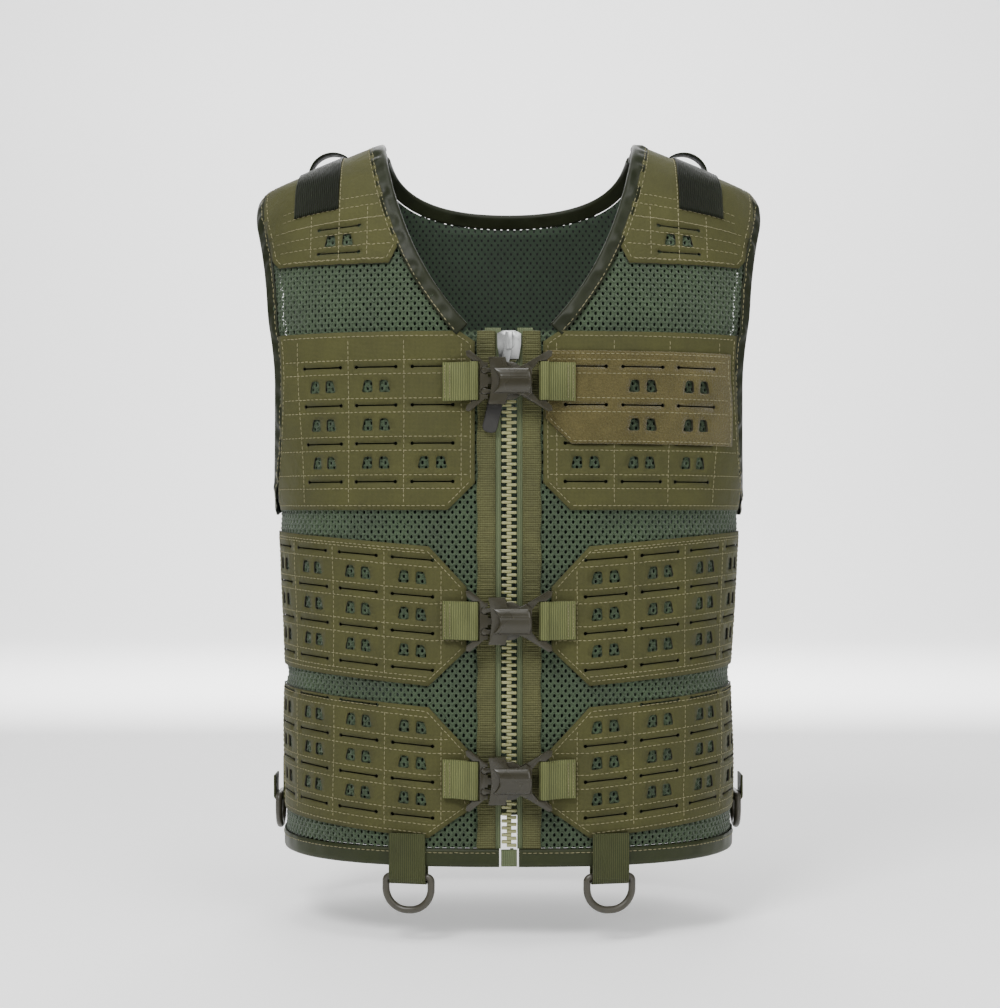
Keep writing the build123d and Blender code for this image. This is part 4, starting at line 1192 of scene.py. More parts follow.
# ---------------------------------------------------------------- bindings
@dataclass
class Binding:
    """A tape folded over a cloth edge: a closed U profile carried along the edge, puckered by its seam."""

    width: float = 9.5
    wall: float = 0.7
    pucker: float = 1.0
    seed: int = 11

    def profile(self) -> tuple[Array, Array]:
        """The U as (distance in from the edge, lift): the outer face out and round, the inner face back."""
        top, low = Layer.BINDING_TOP, Layer.BINDING_BOTTOM
        middle, radius = (top + low) / 2, (top - low) / 2
        legs = np.linspace(self.width, 1.2, 7)
        turn = np.linspace(90, -90, 7)[1:-1] * math.pi / 180
        outer_w = np.concatenate([legs, 1.0 - 2.0 * np.cos(turn), legs[::-1]])
        outer_t = np.concatenate([np.full(7, top), middle + radius * np.sin(turn), np.full(7, low)])
        inner_w = np.where(outer_w > 1.1, outer_w, outer_w + self.wall)
        inner_t = middle + (outer_t - middle) * (1 - self.wall / radius)
        return np.concatenate([outer_w, inner_w[::-1]]), np.concatenate([outer_t, inner_t[::-1]])

    def build(
        self, name: str, path: Array, inwards: float, closed: bool, finishes: Finishes,
        thread: bpy.types.Material, node: str,
    ) -> bpy.types.Object:
        """Carries the profile along a path on the form.

        Each place is the path's point moved in along the surface, settled on the form and lifted.

        Args:
            name: the piece's name.
            path: points along the edge, on the form.
            inwards: 1 or -1, which side of the path the cloth lies on.
            closed: whether the path is a loop.
            finishes: the materials.
            thread: the seam's thread.
            node: the CAD node it stands for.
        Returns:
            The binding.
        """
        normals = FORM.normal(path)
        ahead = np.roll(path, -1, axis=0) - np.roll(path, 1, axis=0)
        if not closed:
            ahead[0], ahead[-1] = path[1] - path[0], path[-1] - path[-2]
        ahead /= np.linalg.norm(ahead, axis=1, keepdims=True)
        into = np.cross(normals, ahead) * inwards
        into /= np.linalg.norm(into, axis=1, keepdims=True)
        length = np.concatenate([[0.0], np.cumsum(np.linalg.norm(np.diff(path, axis=0), axis=1))])
        w, t = self.profile()
        random = np.random.default_rng(self.seed)
        waves = sum(
            np.sin(length / p + random.uniform(0, 6.3)) * k for p,
            k in ((1.9, 0.5), (3.1, 0.6), (4.7, 0.6), (7.7, 0.5))
        )
        if closed:
            fade = np.minimum(1.0, np.minimum(length, length[-1] - length) / 12.0)
            waves = waves * fade
        rows = len(path)
        base = (path[:, None] + into[:, None] * w[None, :, None]).reshape(-1, 3)
        rise = waves[:, None] * self.pucker * np.clip(
            (w - 1.0) / 4.0, 0, 1,
        ) * np.where(t > 1.9, 1.0, 0.35) * (1 - 0.55 * np.clip((w - 6.0) / 3.5, 0, 1))
        lift = (t[None] + rise).ravel()
        points = FORM.settle(base, lift)
        flat = np.stack(
            [
                np.repeat(length, len(w)),
                np.tile(np.cumsum(np.r_[0, np.hypot(np.diff(w), np.diff(t))]), rows),
            ],
            axis=1,
        )
        faces = grid_faces(rows, len(w), closed=True)
        if closed:
            last, n = (rows - 1) * len(w), np.arange(len(w))
            faces = np.concatenate([
                faces, np.stack([last + n, last + (n + 1) % len(w), (n + 1) % len(w), n], axis=1),
            ])
        piece = make_object(name, points, faces, flat)
        if not closed:
            work = bmesh.new()
            work.from_mesh(piece.data)
            bmesh.ops.holes_fill(work, edges=[e for e in work.edges if e.is_boundary])
            work.to_mesh(piece.data)
            work.free()
        work = bmesh.new()
        work.from_mesh(piece.data)
        bmesh.ops.recalc_face_normals(work, faces=work.faces)
        work.to_mesh(piece.data)
        work.free()
        piece.data.materials.append(finishes.satin)
        seam = Stitching(pitch=3.6, length=2.7)
        place = np.stack([length, np.full(rows, self.width - 1.6)], axis=1)
        at = np.arange(3.0, length[-1] - 3.0, seam.pitch)
        seam.starts.append(np.stack([at, np.full(len(at), place[0, 1])], axis=1))
        seam.ends.append(np.stack([at + seam.length, np.full(len(at), place[0, 1])], axis=1))

        def lay(u: Array, v: Array, lift: float) -> tuple[Array, Array]:
            """A place along the tape and across it, on the form."""
            here = np.stack([np.interp(u, length, path[:, k]) for k in range(3)], axis=1)
            side = np.stack([np.interp(u, length, into[:, k]) for k in range(3)], axis=1)
            up = np.interp(u, length, waves) * self.pucker * 0.5
            return FORM.settle(here + side * v[:, None], lift + up), normals

        seams = seam.build(name + "_stitches", lay, Layer.BINDING_TOP + 0.1)
        seams.data.materials.append(thread)
        for part in (piece, seams):
            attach(part, "vest")
        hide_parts(node)
        LOG.info("%s: %.0f mm of tape", name, length[-1])
        return piece


# ---------------------------------------------------------------- the vest's cloth
@dataclass
class VestCloth:
    """Every cloth piece of the vest."""

    finishes: Finishes
    columns: tuple = (63.8, 101.9, 140.0, 178.1, 216.2)
    lower_slots: tuple = (32.4, 56.2, 80.0, 103.8)
    lower_pairs: tuple = (44.3, 68.1, 91.9)
    mid_slots: tuple = (130.5, 154.9, 179.3, 203.7)
    mid_pairs: tuple = (142.7, 167.1, 191.5)
    chest_columns: tuple = (50.5, 88.6, 126.7)
    chest_slots: tuple = (256.0, 281.5, 307.0, 332.5)
    chest_pairs: tuple = (268.8, 294.2, 319.8)

    def side_edge(self, low: float, high: float, gap: float = 12.0) -> list[tuple[float, float]]:
        """The panel's edge beside the side seam, from low to high."""
        heights = np.linspace(low, high, 9)
        return [(float(FORM.side_at(h + DRAPE.rise)) - gap, float(h)) for h in heights]

    def hexagon(
        self, rows: tuple[float, float], edge: tuple[float, float], inner: float,
    ) -> list[tuple[float, float]]:
        """A front panel with its inner corners cut off, drawn on the wearer's left."""
        return [
            (53.0, rows[0]), *self.side_edge(*rows), (53.0, rows[1]), (inner, edge[1]), (inner, edge[0]),
        ]

    @staticmethod
    def short_of_armhole(x: float, height: float, by: float) -> float:
        """The arc length at |x|, or at the armhole's edge grown by a distance if that comes first."""
        share = (height - OPENINGS.arm_centre) / (OPENINGS.arm_half_height + by)
        if abs(share) >= 1.0:
            return FORM.arc_of(x, height)
        y = (OPENINGS.arm_half_depth + by) * math.sqrt(1 - share * share)
        z = np.array([height])
        share = 1 - (y / FORM.half_depth(z)[0][0]) ** FORM.roundness
        reach = float(FORM.half_width(z)[0][0] * share ** (1 / FORM.roundness))
        return FORM.arc_of(min(x, reach), height)

    def chest(self) -> list[tuple[float, float]]:
        """The chest panel's outline, drawn on the wearer's left."""
        outer = [(
            self.short_of_armhole(158.0, float(h), 6.5), float(h),
        ) for h in np.linspace(237.0, 356.0, 13)]
        return [(40.5, 237.0), *outer, (33.3, 356.0), (22.5, 348.8), (22.5, 255.0)]

    def patch(self) -> list[tuple[float, float]]:
        """The loop patch's outline."""
        outer = [(
            self.short_of_armhole(148.0, float(h), 11.0), float(h),
        ) for h in np.linspace(281.0, 343.0, 7)]
        return [(41.0, 281.0), *outer, (24.0, 343.0), (24.0, 298.0)]

    def panels(self) -> list[tuple[CutPanel, str]]:
        """Every panel, with the CAD node that it stands for."""
        made = []
        for side in Side:
            def turned(points: list[tuple[float, float]]) -> list[tuple[float, float]]:
                """Flat points, turned over for this side."""
                return [(u * side.value, v) for u, v in points]

            columns = sorted(u * side.value for u in self.columns)
            made.append((
                CutPanel(
                    f"lower_panel_cloth_{side.name}",
                    turned(self.hexagon((19.0, 106.0), (38.5, 77.0), 26.0)), columns, self.lower_slots,
                    self.lower_pairs, rises=True,
                ),
                f"lower_panel_{side.name}",
            ))
            made.append((
                CutPanel(
                    f"mid_panel_cloth_{side.name}",
                    turned(self.hexagon((120.0, 213.0), (144.0, 186.0), 28.0)), columns, self.mid_slots,
                    self.mid_pairs, rises=True,
                ),
                f"mid_panel_{side.name}",
            ))
            chest_columns = sorted(u * side.value for u in self.chest_columns)
            first = 0 if side is Side.left else 2
            skip = ((first, 1), (first, 2))
            made.append((
                CutPanel(
                    f"chest_panel_cloth_{side.name}", turned(self.chest()), chest_columns, self.chest_slots,
                    self.chest_pairs, skip,
                ),
                f"chest_panel_{side.name}",
            ))
        made.append((
            CutPanel(
                "loop_patch_cloth", self.patch(), self.chest_columns, self.chest_slots[2:],
                self.chest_pairs[1:], ((0, 0), (0, 1)), lift=Layer.PATCH, thickness=1.0, step=3.0,
                slot_name="loop_pile", seam_inset=2.0, column_pitch=400.0,
            ),
            "loop_patch",
        ))
        back_columns = tuple(38.1 * k for k in range(-5, 6))
        for name, rows, slots, pairs in (
            ("back_lower_panel", (19.0, 106.0), self.lower_slots, self.lower_pairs),
            ("back_mid_panel", (120.0, 213.0), self.mid_slots, self.mid_pairs),
        ):
            right = self.side_edge(*rows)
            left = [(-u, v) for u, v in right[::-1]]
            made.append((
                CutPanel(
                    name + "_cloth", [*right, *left], back_columns, slots, pairs, face=Face.BACK,
                ), name,
            ))
        edge = [(120.0, 237.0), (138.0, 255.0), (141.0, 330.0), (144.0, 394.0)]
        top = [(57.7, 401.5), (57.7, 440.0)]
        outline = [*edge, *top, *[(-u, v) for u, v in top[::-1]], *[(-u, v) for u, v in edge[::-1]]]
        slots = tuple(256.0 + 25.4 * k for k in range(7))
        pairs = tuple(268.7 + 25.4 * k for k in range(6))
        made.append((
            CutPanel(
                "back_upper_panel_cloth", outline, tuple(38.1 * k for k in range(-3, 4)), slots, pairs,
                face=Face.BACK,
            ),
            "back_upper_panel",
        ))
        return made

    def yoke(self, side: Side) -> CutPanel:
        """The shoulder panel, drawn flat as (across, along from the ridge), with its feet level."""
        foot = -FORM.arc_over(FORM.strap_middle, FORM.strap_foot, Face.FRONT)

        def level(height: float, x: float = 113.5) -> float:
            """A height on the form, as a place along the strap."""
            return FORM.arc_over(x, height, Face.FRONT) / float(FORM.strap_share(np.array([x]))[0])

        arm = []
        for turn in np.linspace(30, 90, 16) * math.pi / 180:
            y = -(OPENINGS.arm_half_depth + 7.0) * math.cos(turn)
            z = np.array([OPENINGS.arm_centre + (OPENINGS.arm_half_height + 7.0) * math.sin(turn)])
            deep = abs(y) / FORM.half_depth(z)[0][0]
            if z[0] < FORM.strap_foot + 4.0 or deep > 0.98:
                continue
            x = float(FORM.half_width(z)[0][0] * (1 - deep ** FORM.roundness) ** (1 / FORM.roundness))
            along = np.interp(
                y, FORM.over(np.full(len(FORM.strap_arcs), x), FORM.strap_arcs)[:, 1], FORM.strap_arcs,
            )
            arm.append((x, float(along) / float(FORM.strap_share(np.array([x]))[0])))
        curve = OPENINGS.neck_curve(Face.FRONT, 24)
        step = np.gradient(curve, axis=0)
        step /= np.linalg.norm(step, axis=1, keepdims=True)
        moved = curve + np.stack([step[:, 1], -step[:, 0]], axis=1) * 7.0
        neck = [(float(x), level(float(z), float(x))) for x, z in moved if x > 70.0 and 410.0 < z < 484.0]
        outer = arm[0][0]
        start = [(x, -foot) for x in np.linspace(outer - 5.0, neck[0][0] + 7.0, 8)]
        front = [*start, *neck, (95.0, 0.0)]
        ridge = [(arm[-1][0], 0.0)]
        half = [*front, *ridge, *arm[::-1]]
        split = len(front)
        back = [(x, -v) for x, v in front[:-1]][::-1]
        back_arm = [(x, -v) for x, v in arm]
        outline = [*front, *back, *back_arm, *half[split + 1:]]
        rows = [level(z) for z in (446.0, 440.0, 431.5)]
        pair, upper, lower = level(418.5), level(427.0), level(409.5)
        seams = [[(84.0, v), (outer - 6.0, v)] for v in rows]
        seams += [[(x, rows[1]), (x, lower - 4.0)] for x in (94.5, 132.5)]
        return CutPanel(
            f"shoulder_panel_cloth_{side.name}", outline, (113.5,), (upper, lower), (pair,),
            over_strap=side.value, column_pitch=0.01, extra_seams=seams, step=4.0,
        )

    def covered(self, panels: list[tuple[CutPanel, str]], face: Face) -> Callable[[Array, Array], Array]:
        """A test of which flat places lie under solid cloth: inside a panel and away from its holes."""
        def test(u: Array, v: Array) -> Array:
            """True where solid cloth hides the flat place."""
            hidden = np.zeros(len(u), dtype=bool)
            x = FORM.wrap(u, v, face)[:, 0]
            for panel, _ in panels:
                if panel.face is not face or panel.lift > Layer.PANEL:
                    continue
                flat = np.stack([u, v - (DRAPE.rise_at(x) if panel.rises else 0.0)], axis=1)
                under = inside(flat, inset(np.array(panel.outline), 6.0))
                for i, cu in enumerate(panel.columns):
                    for j, cv in enumerate(panel.pairs):
                        if (i, j) not in panel.skip:
                            under &= ~((np.abs(flat[:, 0] - cu) < 12.0) & (np.abs(flat[:, 1] - cv) < 6.5))
                hidden |= under
            return hidden

        return test

    def build(self) -> None:
        """Makes the mesh, the panels, the bindings and the tapes."""
        panels = self.panels()
        for panel, node in panels:
            pile = panel.slot_name == "loop_pile"
            panel.build(
                self.finishes.loop if pile else self.finishes.panel, self.finishes.cut_edge,
                self.finishes.thread, node,
            )
        for side in Side:
            self.yoke(side).build(
                self.finishes.panel, self.finishes.cut_edge, self.finishes.thread,
                f"shoulder_panel_{side.name}",
            )
        mesh = AirMesh()
        for side in Side:
            mesh.outer_face(
                f"air_mesh_front_{side.name}", Face.FRONT, side, self.covered(panels, Face.FRONT),
                f"mesh_front_{side.name}", self.finishes.mesh,
            )
            mesh.inner_face(f"air_mesh_lining_{side.name}", f"mesh_front_{side.name}", self.finishes)
        mesh.outer_face(
            "air_mesh_back", Face.BACK, None, self.covered(panels, Face.BACK), "mesh_back",
            self.finishes.mesh,
        )
        mesh.inner_face("air_mesh_lining_back", "mesh_back", self.finishes)
        self.bind()
        self.tapes()
        self.elastics()

    def bind(self) -> None:
        """Binds the neckline and both armholes, and the hem."""
        front, back = OPENINGS.neck_curve(Face.FRONT, 150), OPENINGS.neck_curve(Face.BACK, 90)
        def on_form(curve: Array, face: Face) -> Array:
            """An opening curve, put on the form and cut short of the side."""
            curve = curve[curve[:, 0] < FORM.half_width(curve[:, 1])[0] - 0.3]
            a, b = FORM.half_width(curve[:, 1])[0], FORM.half_depth(curve[:, 1])[0]
            y = b * np.clip(1 - (curve[:, 0] / a) ** 2.5, 0, 1) ** 0.4
            return np.stack([curve[:, 0], face.value * y, curve[:, 1]], axis=1)

        fore, aft = on_form(front, Face.FRONT), on_form(back, Face.BACK)
        crest_y = np.linspace(fore[-1, 1], aft[-1, 1], 34)[1:-1]
        crest = FORM.over(
            np.full(len(crest_y), 88.0),
            np.interp(
                crest_y, FORM.over(np.full(len(FORM.strap_arcs), 88.0), FORM.strap_arcs)[:, 1],
                FORM.strap_arcs,
            ),
        )
        half = np.concatenate([fore, crest, aft[::-1]])
        whole = np.concatenate([half, (half * (-1, 1, 1))[::-1][1:]])
        Binding(seed=11).build(
            "neck_binding_tape", evened(whole, 1.2), -1.0, False, self.finishes, self.finishes.thread,
            "neck_binding",
        )
        turn = np.linspace(0, math.tau, 480, endpoint=False)
        y = OPENINGS.arm_half_depth * np.cos(turn)
        z = OPENINGS.arm_centre + OPENINGS.arm_half_height * np.sin(turn)
        x = FORM.half_width(z)[0] * (1 - (np.abs(y) / FORM.half_depth(z)[0]) ** 2.5) ** 0.4
        for side in Side:
            path = np.stack([x * side.value, y, z], axis=1)
            Binding(seed=21 + int(side.value)).build(
                f"armhole_binding_tape_{side.name}", path, -side.value, True, self.finishes,
                self.finishes.thread, f"armhole_binding_{side.name}",
            )
        self.hem()

    def hem(self) -> None:
        """The hem tape: a U folded over the bottom edge, from one side of the zip round to the other."""
        girth = 2 * float(np.interp(6.0, FORM.heights, FORM.half_girth))
        u = np.linspace(6.5, girth - 6.5, 760)
        w = np.concatenate([np.linspace(12.0, 1.6, 6), [0.6, 0.0, 0.0, 0.6], np.linspace(1.6, 12.0, 6)])
        t = np.concatenate([np.full(6, 4.6), [4.2, 2.9, 0.9, -0.4], np.full(6, -0.8)])
        inner_w, inner_t = np.maximum(w, 0.9)[::-1], (1.9 + (t - 1.9) * 0.72)[::-1]
        w, t = np.concatenate([w, inner_w]), np.concatenate([t, inner_t])
        random = np.random.default_rng(5)
        waves = sum(
            np.sin(u / p + random.uniform(0, 6.3)) * k for p, k in ((2.3, 0.3), (4.1, 0.4), (9.0, 0.5))
        )
        half = girth / 2
        around = np.where(u <= half, u, u - girth)
        base = np.stack(
            [FORM.wrap(np.full(len(u), 0.0) + around, np.full(len(u), level)) for level in w], axis=1,
        ).reshape(-1, 3)
        lift = (t[None] + 0.35 * waves[:, None] * np.clip(
            (w - 1) / 5, 0, 1,
        )[None] * np.where(t > 1.9, 1.0, 0.3)[None]).ravel()
        points = base + FORM.normal(base) * lift[:, None]
        points[:, 2] = np.tile(w, len(u))
        flat = np.stack([np.repeat(u, len(w)), np.tile(w, len(u))], axis=1)
        piece = make_object("hem_binding_tape", points, grid_faces(len(u), len(w), closed=True), flat)
        work = bmesh.new()
        work.from_mesh(piece.data)
        bmesh.ops.holes_fill(work, edges=[e for e in work.edges if e.is_boundary])
        bmesh.ops.recalc_face_normals(work, faces=work.faces)
        work.to_mesh(piece.data)
        work.free()
        piece.data.materials.append(self.finishes.hem)
        sewing = Stitching(pitch=3.5, length=2.6)
        for face in Face:
            sewing.starts.clear()
            sewing.ends.clear()
            reach = float(np.interp(10.0, FORM.heights, FORM.side_arc)) - 2.0
            for side in Side:
                sewing.line((8.0 * side.value, 9.6), (reach * side.value, 9.6))
            seams = sewing.build(
                f"hem_stitches_{face.name.lower()}", lambda a, b, c, f=face: laid(a, b, c, f),
                Layer.BINDING_TOP + 0.3,
            )
            seams.data.materials.append(self.finishes.thread)
            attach(seams, "vest")
        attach(piece, "vest")
        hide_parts("hem_binding")

    def tapes(self) -> None:
        """The ribbed placket tapes beside the zip, gathered by their zigzag seam."""
        for side in Side:
            u = np.linspace(9.0, 21.0, 9)
            v = np.arange(12.5, 356.0, 0.55)
            random = np.random.default_rng(31 + int(side.value))
            ribs = sum(
                np.sin(v / p + random.uniform(0, 6.3)) * k for p,
                k in ((0.42, 0.22), (1.1, 0.14), (2.9, 0.14), (7.3, 0.12))
            )
            a, b = np.meshgrid(u, v)
            gather = ribs[:, None] * np.sin((a - 9.0) / 12.0 * math.pi) ** 0.4
            wobble = 0.35 * np.sin(v / 5.3 + side.value)[:, None] * (a > 20.0)
            points, normals = laid((a + wobble) * side.value, b, Layer.PANEL + gather - 0.25)
            faces = grid_faces(len(v), len(u))
            tris = np.concatenate([faces[:, [0, 1, 2]], faces[:, [0, 2, 3]]])
            piece = make_object(
                f"placket_ribbed_tape_{side.name}", points, facing(points, tris, normals),
                np.stack([a.ravel(), b.ravel()], axis=1),
            )
            piece.data.materials.append(self.finishes.placket)
            thicken(piece, 1.0)
            sewing = Stitching(pitch=2.2, length=1.8, radius=0.2)
            zig = [((18.6 if k % 2 else 20.3) * side.value, 14.0 + 2.2 * k) for k in range(155)]
            sewing.line(*zig)
            sewing.line((10.4 * side.value, 14.0), (10.4 * side.value, 354.0))
            seams = sewing.build(
                f"placket_stitches_{side.name}", lambda p, q, r: laid(p, q, r), Layer.PANEL + 0.1,
            )
            seams.data.materials.append(self.finishes.placket)
            for part in (piece, seams):
                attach(part, "vest")
            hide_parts(f"placket_tape_{side.name}")

    def elastics(self) -> None:
        """The ribbed elastic over each shoulder: each rib is a half round along the strap."""
        for side in Side:
            low = FORM.arc_over(FORM.strap_middle, 440.0, Face.FRONT)
            x = np.linspace(114.0, 144.0, 133)
            a, b = np.meshgrid(x, np.linspace(low, -low, 70))
            ribs = 0.38 * np.abs(np.sin((a - 114.0) / 30.0 * math.pi * 22)) + 0.06 * np.sin(b / 1.7 + a)
            base = FORM.over(a * side.value, b * FORM.strap_share(a)).reshape(-1, 3)
            normals = FORM.normal(base)
            points = base + normals * (Layer.ELASTIC - 0.3 + ribs.ravel())[:, None]
            faces = grid_faces(70, len(x))
            tris = np.concatenate([faces[:, [0, 1, 2]], faces[:, [0, 2, 3]]])
            piece = make_object(
                f"ribbed_elastic_{side.name}", points, facing(points, tris, normals),
                np.stack([a.ravel(), b.ravel()], axis=1),
            )
            piece.data.materials.append(self.finishes.elastic)
            thicken(piece, 0.9)
            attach(piece, "vest")
            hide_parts(f"shoulder_elastic_{side.name}")


def evened(path: Array, step: float) -> Array:
    """A path with its points set evenly along it."""
    length = np.concatenate([[0.0], np.cumsum(np.linalg.norm(np.diff(path, axis=0), axis=1))])
    at = np.linspace(0.0, length[-1], int(length[-1] / step))
    return FORM.settle(np.stack([np.interp(at, length, path[:, k]) for k in range(3)], axis=1))


# ---------------------------------------------------------------- hardware
@dataclass
class Hardware:
    """The zip, the buckles and the rings: each CAD solid copied, merged and given softened edges."""

    finishes: Finishes
    heights: tuple = ("bottom", "middle", "top")
    zip_travel: float = 0.32
    barrel: tuple[float, float] = (-6.5, 15.2)
    barrel_hollow: float = 4.5
    barrel_bow: float = 1.8
    barrel_rise: float = 2.9
    barrel_half: float = 8.4
    tack_rows: tuple[float, float] = (39.2, 42.6)
    tack_half: float = 11.5

    def soften(
        self, node: str, body: str, finish: bpy.types.Material, width: float, segments: int = 2,
    ) -> bpy.types.Object:
        """Copies a CAD node, merges it and bevels its edges.

        Args:
            node: the CAD node.
            body: the body it rides on.
            finish: its material.
            width: the bevel's width in millimetres.
            segments: the bevel's steps.
        Returns:
            The copy.
        """
        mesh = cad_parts[node].data.copy()
        mesh.materials.clear()
        piece = bpy.data.objects.new(node + "_finished", mesh)
        bpy.context.collection.objects.link(piece)
        work = bmesh.new()
        work.from_mesh(mesh)
        bmesh.ops.remove_doubles(work, verts=work.verts, dist=2e-6)
        bmesh.ops.dissolve_limit(work, angle_limit=math.radians(1.0), verts=work.verts, edges=work.edges)
        work.to_mesh(mesh)
        work.free()
        mesh.materials.append(finish)
        mesh.polygons.foreach_set("material_index", [0] * len(mesh.polygons))
        mesh.polygons.foreach_set("use_smooth", [True] * len(mesh.polygons))
        bevel = piece.modifiers.new("edge", "BEVEL")
        bevel.width = width * MM
        bevel.segments = segments
        bevel.limit_method = "ANGLE"
        bevel.angle_limit = math.radians(32)
        bevel.harden_normals = True
        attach(piece, body)
        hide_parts(node)
        return piece

    def cover(self, n: str) -> None:
        """The socket's moulded barrel: a crowned shell along its middle, over its flat face.

        Across, the height follows a half superellipse with one shallow ridge. The mouth end is
        hollowed and the far end bowed by the square of the place across, and both ends round off.

        Args:
            n: the buckle's name.
        """
        low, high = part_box(f"buckle_{n}_socket")
        front, middle = low[1] / MM, (low[2] + high[2]) / 2 / MM
        across = np.sin(np.linspace(-math.pi / 2, math.pi / 2, 41))
        along = (1 - np.cos(np.linspace(0, math.pi, 37))) / 2
        t, u = np.meshgrid(across, along)
        start = self.barrel[0] - self.barrel_hollow * t**2
        end = self.barrel[1] - self.barrel_bow * t**2
        ends = (1 - np.abs(2 * u - 1) ** 14) ** 0.4
        crown = self.barrel_rise * np.sqrt(np.maximum(0.0, 1 - np.abs(t) ** 2.4))
        ridge = 0.3 * np.exp(-(((t - 0.3) / 0.08) ** 2))
        shell = np.stack(
            [
                start + (end - start) * u, front + 0.3 - ends * (crown + ridge),
                middle + self.barrel_half * t,
            ],
            axis=-1,
        )
        foot = shell.copy()
        foot[..., 1] = front + 0.5
        top = grid_faces(*t.shape)
        rows, cols = t.shape
        under = top[:, ::-1] + rows * cols
        rim = np.concatenate([
            np.arange(cols), np.arange(1, rows) * cols + cols - 1,
            (rows - 1) * cols + np.arange(cols - 2, -1, -1), np.arange(rows - 2, 0, -1) * cols,
        ])
        after = np.roll(rim, -1)
        wall = np.stack([rim, after, after + rows * cols, rim + rows * cols], axis=1)
        points = np.concatenate([shell.reshape(-1, 3), foot.reshape(-1, 3)])
        piece = outward(make_object(
            f"buckle_{n}_socket_barrel", points, np.concatenate([top, under, wall]),
        ))
        piece.data.materials.append(self.finishes.plastic)
        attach(piece, "vest")

    def bar_tack(self, n: str, side: Side) -> None:
        """Two close rows of thread across the webbing's outer end, laid on the webbing's own face."""
        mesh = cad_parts[f"buckle_{n}_webbing_{side.name}"].data
        corners = np.empty(len(mesh.vertices) * 3)
        mesh.vertices.foreach_get("co", corners)
        corners = corners.reshape(-1, 3) / MM
        middle = (corners[:, 2].min() + corners[:, 2].max()) / 2
        outer = [corners[np.abs(corners[:, 0] - x * side.value) < 2.5, 1] for x in self.tack_rows]
        front = min([float(y.min()) for y in outer if len(y)] or [float(corners[:, 1].min())])
        sewing = Stitching(pitch=2.0, length=1.8, radius=0.26)
        for x in self.tack_rows:
            sewing.line((x * side.value, -self.tack_half), (x * side.value, self.tack_half))

        def lay(u: Array, v: Array, lift: float) -> tuple[Array, Array]:
            """A flat place, set just off the webbing's face."""
            return np.stack(
                [u, np.full(len(u), front - lift), v + middle], axis=1,
            ), np.tile((0.0, -1.0, 0.0), (len(u), 1))

        seams = sewing.build(f"buckle_{n}_bar_tack_{side.name}", lay, 0.05)
        seams.data.materials.append(self.finishes.thread)
        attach(seams, "vest")

    def build(self) -> None:
        """Dresses every hard piece and the webbing that holds it."""
        f = self.finishes
        for side in Side:
            teeth = self.soften(f"zip_teeth_{side.name}", "vest", f.teeth, 0.45)
            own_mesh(teeth)
            self.soften(f"zip_tape_{side.name}", "vest", f.zip_tape, 0.2)
            self.soften(f"shoulder_keeper_{side.name}", "vest", f.elastic, 0.3)
            self.soften(f"front_ring_{side.name}", f"front_ring_{side.name}", f.ring, 0.3)
            self.soften(f"side_ring_{side.name}", f"side_ring_{side.name}", f.ring, 0.3)
        self.soften("zip_slider", "zip_slider", f.zinc, 0.15, 1)
        self.soften("zip_retainer_box", "vest", f.zip_tape, 0.5)
        self.soften("zip_insertion_pin", "vest", f.zip_tape, 0.3)
        self.soften("zip_pull_tab", "zip_pull", f.zinc, 0.3)
        self.soften("zip_pull_tag", "zip_pull", f.rubber, 0.7, 3)
        self.soften("front_ring_webbing", "vest", f.ring_webbing, 0.3)
        self.soften("side_ring_webbing", "vest", f.ring_webbing, 0.3)
        for n in self.heights:
            self.soften(f"buckle_{n}_socket", "vest", f.plastic, 0.5, 3)
            self.soften(f"buckle_{n}_plug", f"plug_{n}", f.plastic, 0.4, 3)
            self.soften(f"buckle_{n}_prong_upper", f"prong_{n}_upper", f.plastic, 0.35)
            self.soften(f"buckle_{n}_prong_lower", f"prong_{n}_lower", f.plastic, 0.35)
            self.soften(f"buckle_{n}_webbing_left", "vest", f.webbing, 0.3)
            loose = self.soften(f"buckle_{n}_webbing_right", "vest", f.webbing, 0.3)
            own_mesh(loose)
            self.cover(n)
            for side in Side:
                self.bar_tack(n, side)
            LOG.info("buckle_%s: socket, plug, two prongs and two webbing loops", n)


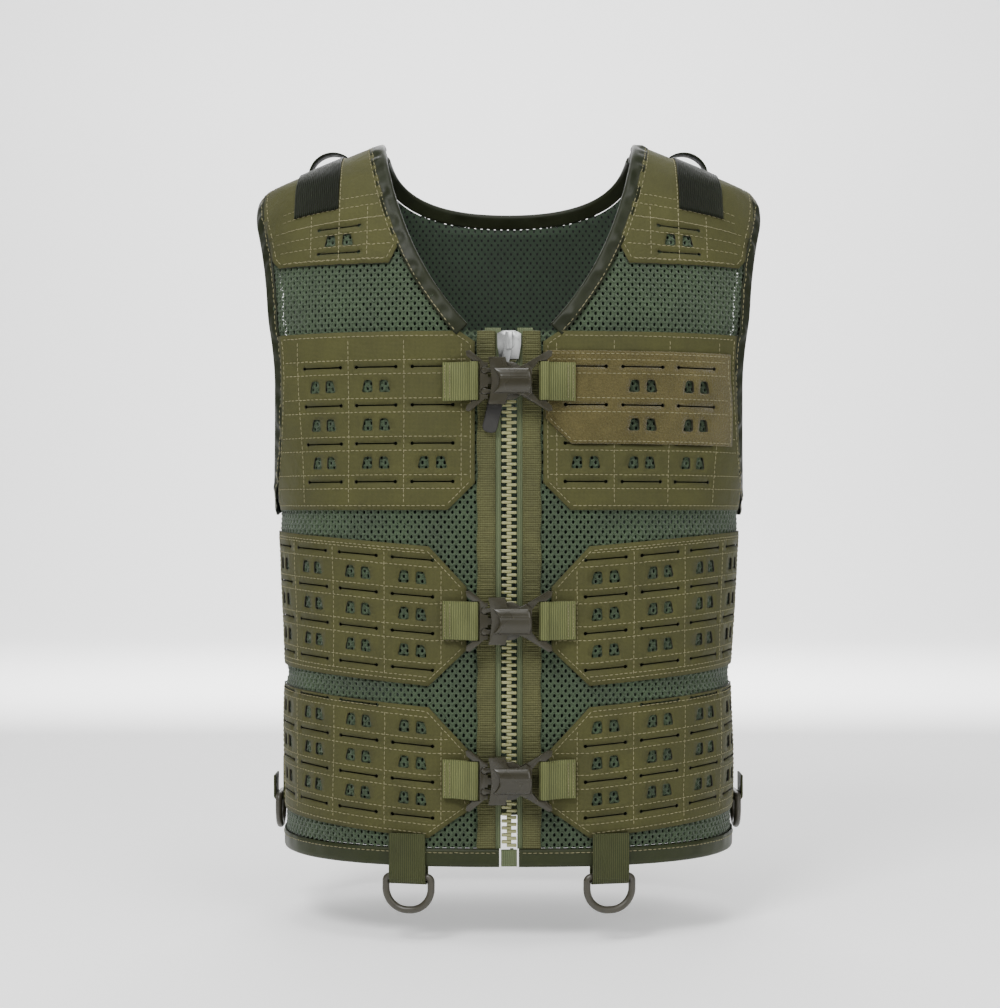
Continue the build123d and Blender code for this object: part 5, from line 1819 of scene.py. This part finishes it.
# ---------------------------------------------------------------- the studio
@dataclass
class Studio:
    """A pale floor that curves up into a backdrop, soft lights, and the camera."""

    lens: float = 75.2
    camera_at: tuple = (-0.006, -1.515, 0.241)
    drop: float = 0.02

    def build(self) -> None:
        """Sets the stage round the object."""
        low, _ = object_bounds()
        camera = bpy.data.objects.new("camera", bpy.data.cameras.new("camera"))
        bpy.context.collection.objects.link(camera)
        camera.data.lens = self.lens
        camera.data.sensor_width = 36.0
        camera.location = self.camera_at
        camera.rotation_euler = (math.pi / 2, 0.0, 0.0)
        bpy.context.scene.camera = camera
        floor_at = low.z - self.drop
        turn = np.linspace(0, math.pi / 2, 16)
        run = np.concatenate([[-6.0], 3.0 + 1.5 * np.sin(turn), [4.5]])
        rise = np.concatenate([[0.0], 1.5 - 1.5 * np.cos(turn), [5.0]])
        x, k = np.meshgrid(np.linspace(-7, 7, 9), np.arange(len(run)))
        points = np.stack([x.ravel(), run[k].ravel(), rise[k].ravel() + floor_at], axis=1) / MM
        floor = make_object("floor", points, grid_faces(len(run), 9))
        paper = bpy.data.materials.new("white_studio_paper")
        paper.use_nodes = True
        shader = paper.node_tree.nodes["Principled BSDF"]
        shader.inputs["Base Color"].default_value = linear("#f7f7f7")
        shader.inputs["Roughness"].default_value = 0.95
        shader.inputs["Emission Color"].default_value = linear("#ffffff")
        shader.inputs["Emission Strength"].default_value = 0.28
        floor.data.materials.append(paper)
        floor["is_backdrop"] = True
        world = bpy.data.worlds.new("soft_white")
        world.use_nodes = True
        world.node_tree.nodes["Background"].inputs[0].default_value = linear("#ffffff")
        world.node_tree.nodes["Background"].inputs[1].default_value = 0.4
        bpy.context.scene.world = world
        vest = (0.0, 0.0, 0.25)
        for name, place, aim, size, power in (
            ("key", (-0.55, -1.35, 1.45), vest, 0.6, 36.0),
            ("fill", (0.9, -1.5, 1.0), vest, 0.9, 13.0),
            ("top", (0.0, -0.35, 1.7), vest, 0.7, 12.0),
            ("back", (0.0, 1.9, 1.7), vest, 1.4, 36.0),
            ("wall", (0.0, 1.6, 1.5), (0.0, 4.4, 0.7), 2.0, 150.0),
        ):
            lamp = bpy.data.lights.new(name, "AREA")
            lamp.size = size
            lamp.energy = power
            light = bpy.data.objects.new(name, lamp)
            bpy.context.collection.objects.link(light)
            light.location = place
            light.rotation_euler = (Vector(aim) - Vector(place)).to_track_quat("-Z", "Y").to_euler()


def main() -> None:
    """Builds the classes in order."""
    logging.basicConfig(level=logging.INFO, format="%(name)s: %(message)s")
    finishes = Finishes()
    VestCloth(finishes).build()
    Hardware(finishes).build()
    Studio().build()


if __name__ == "__main__":
    main()
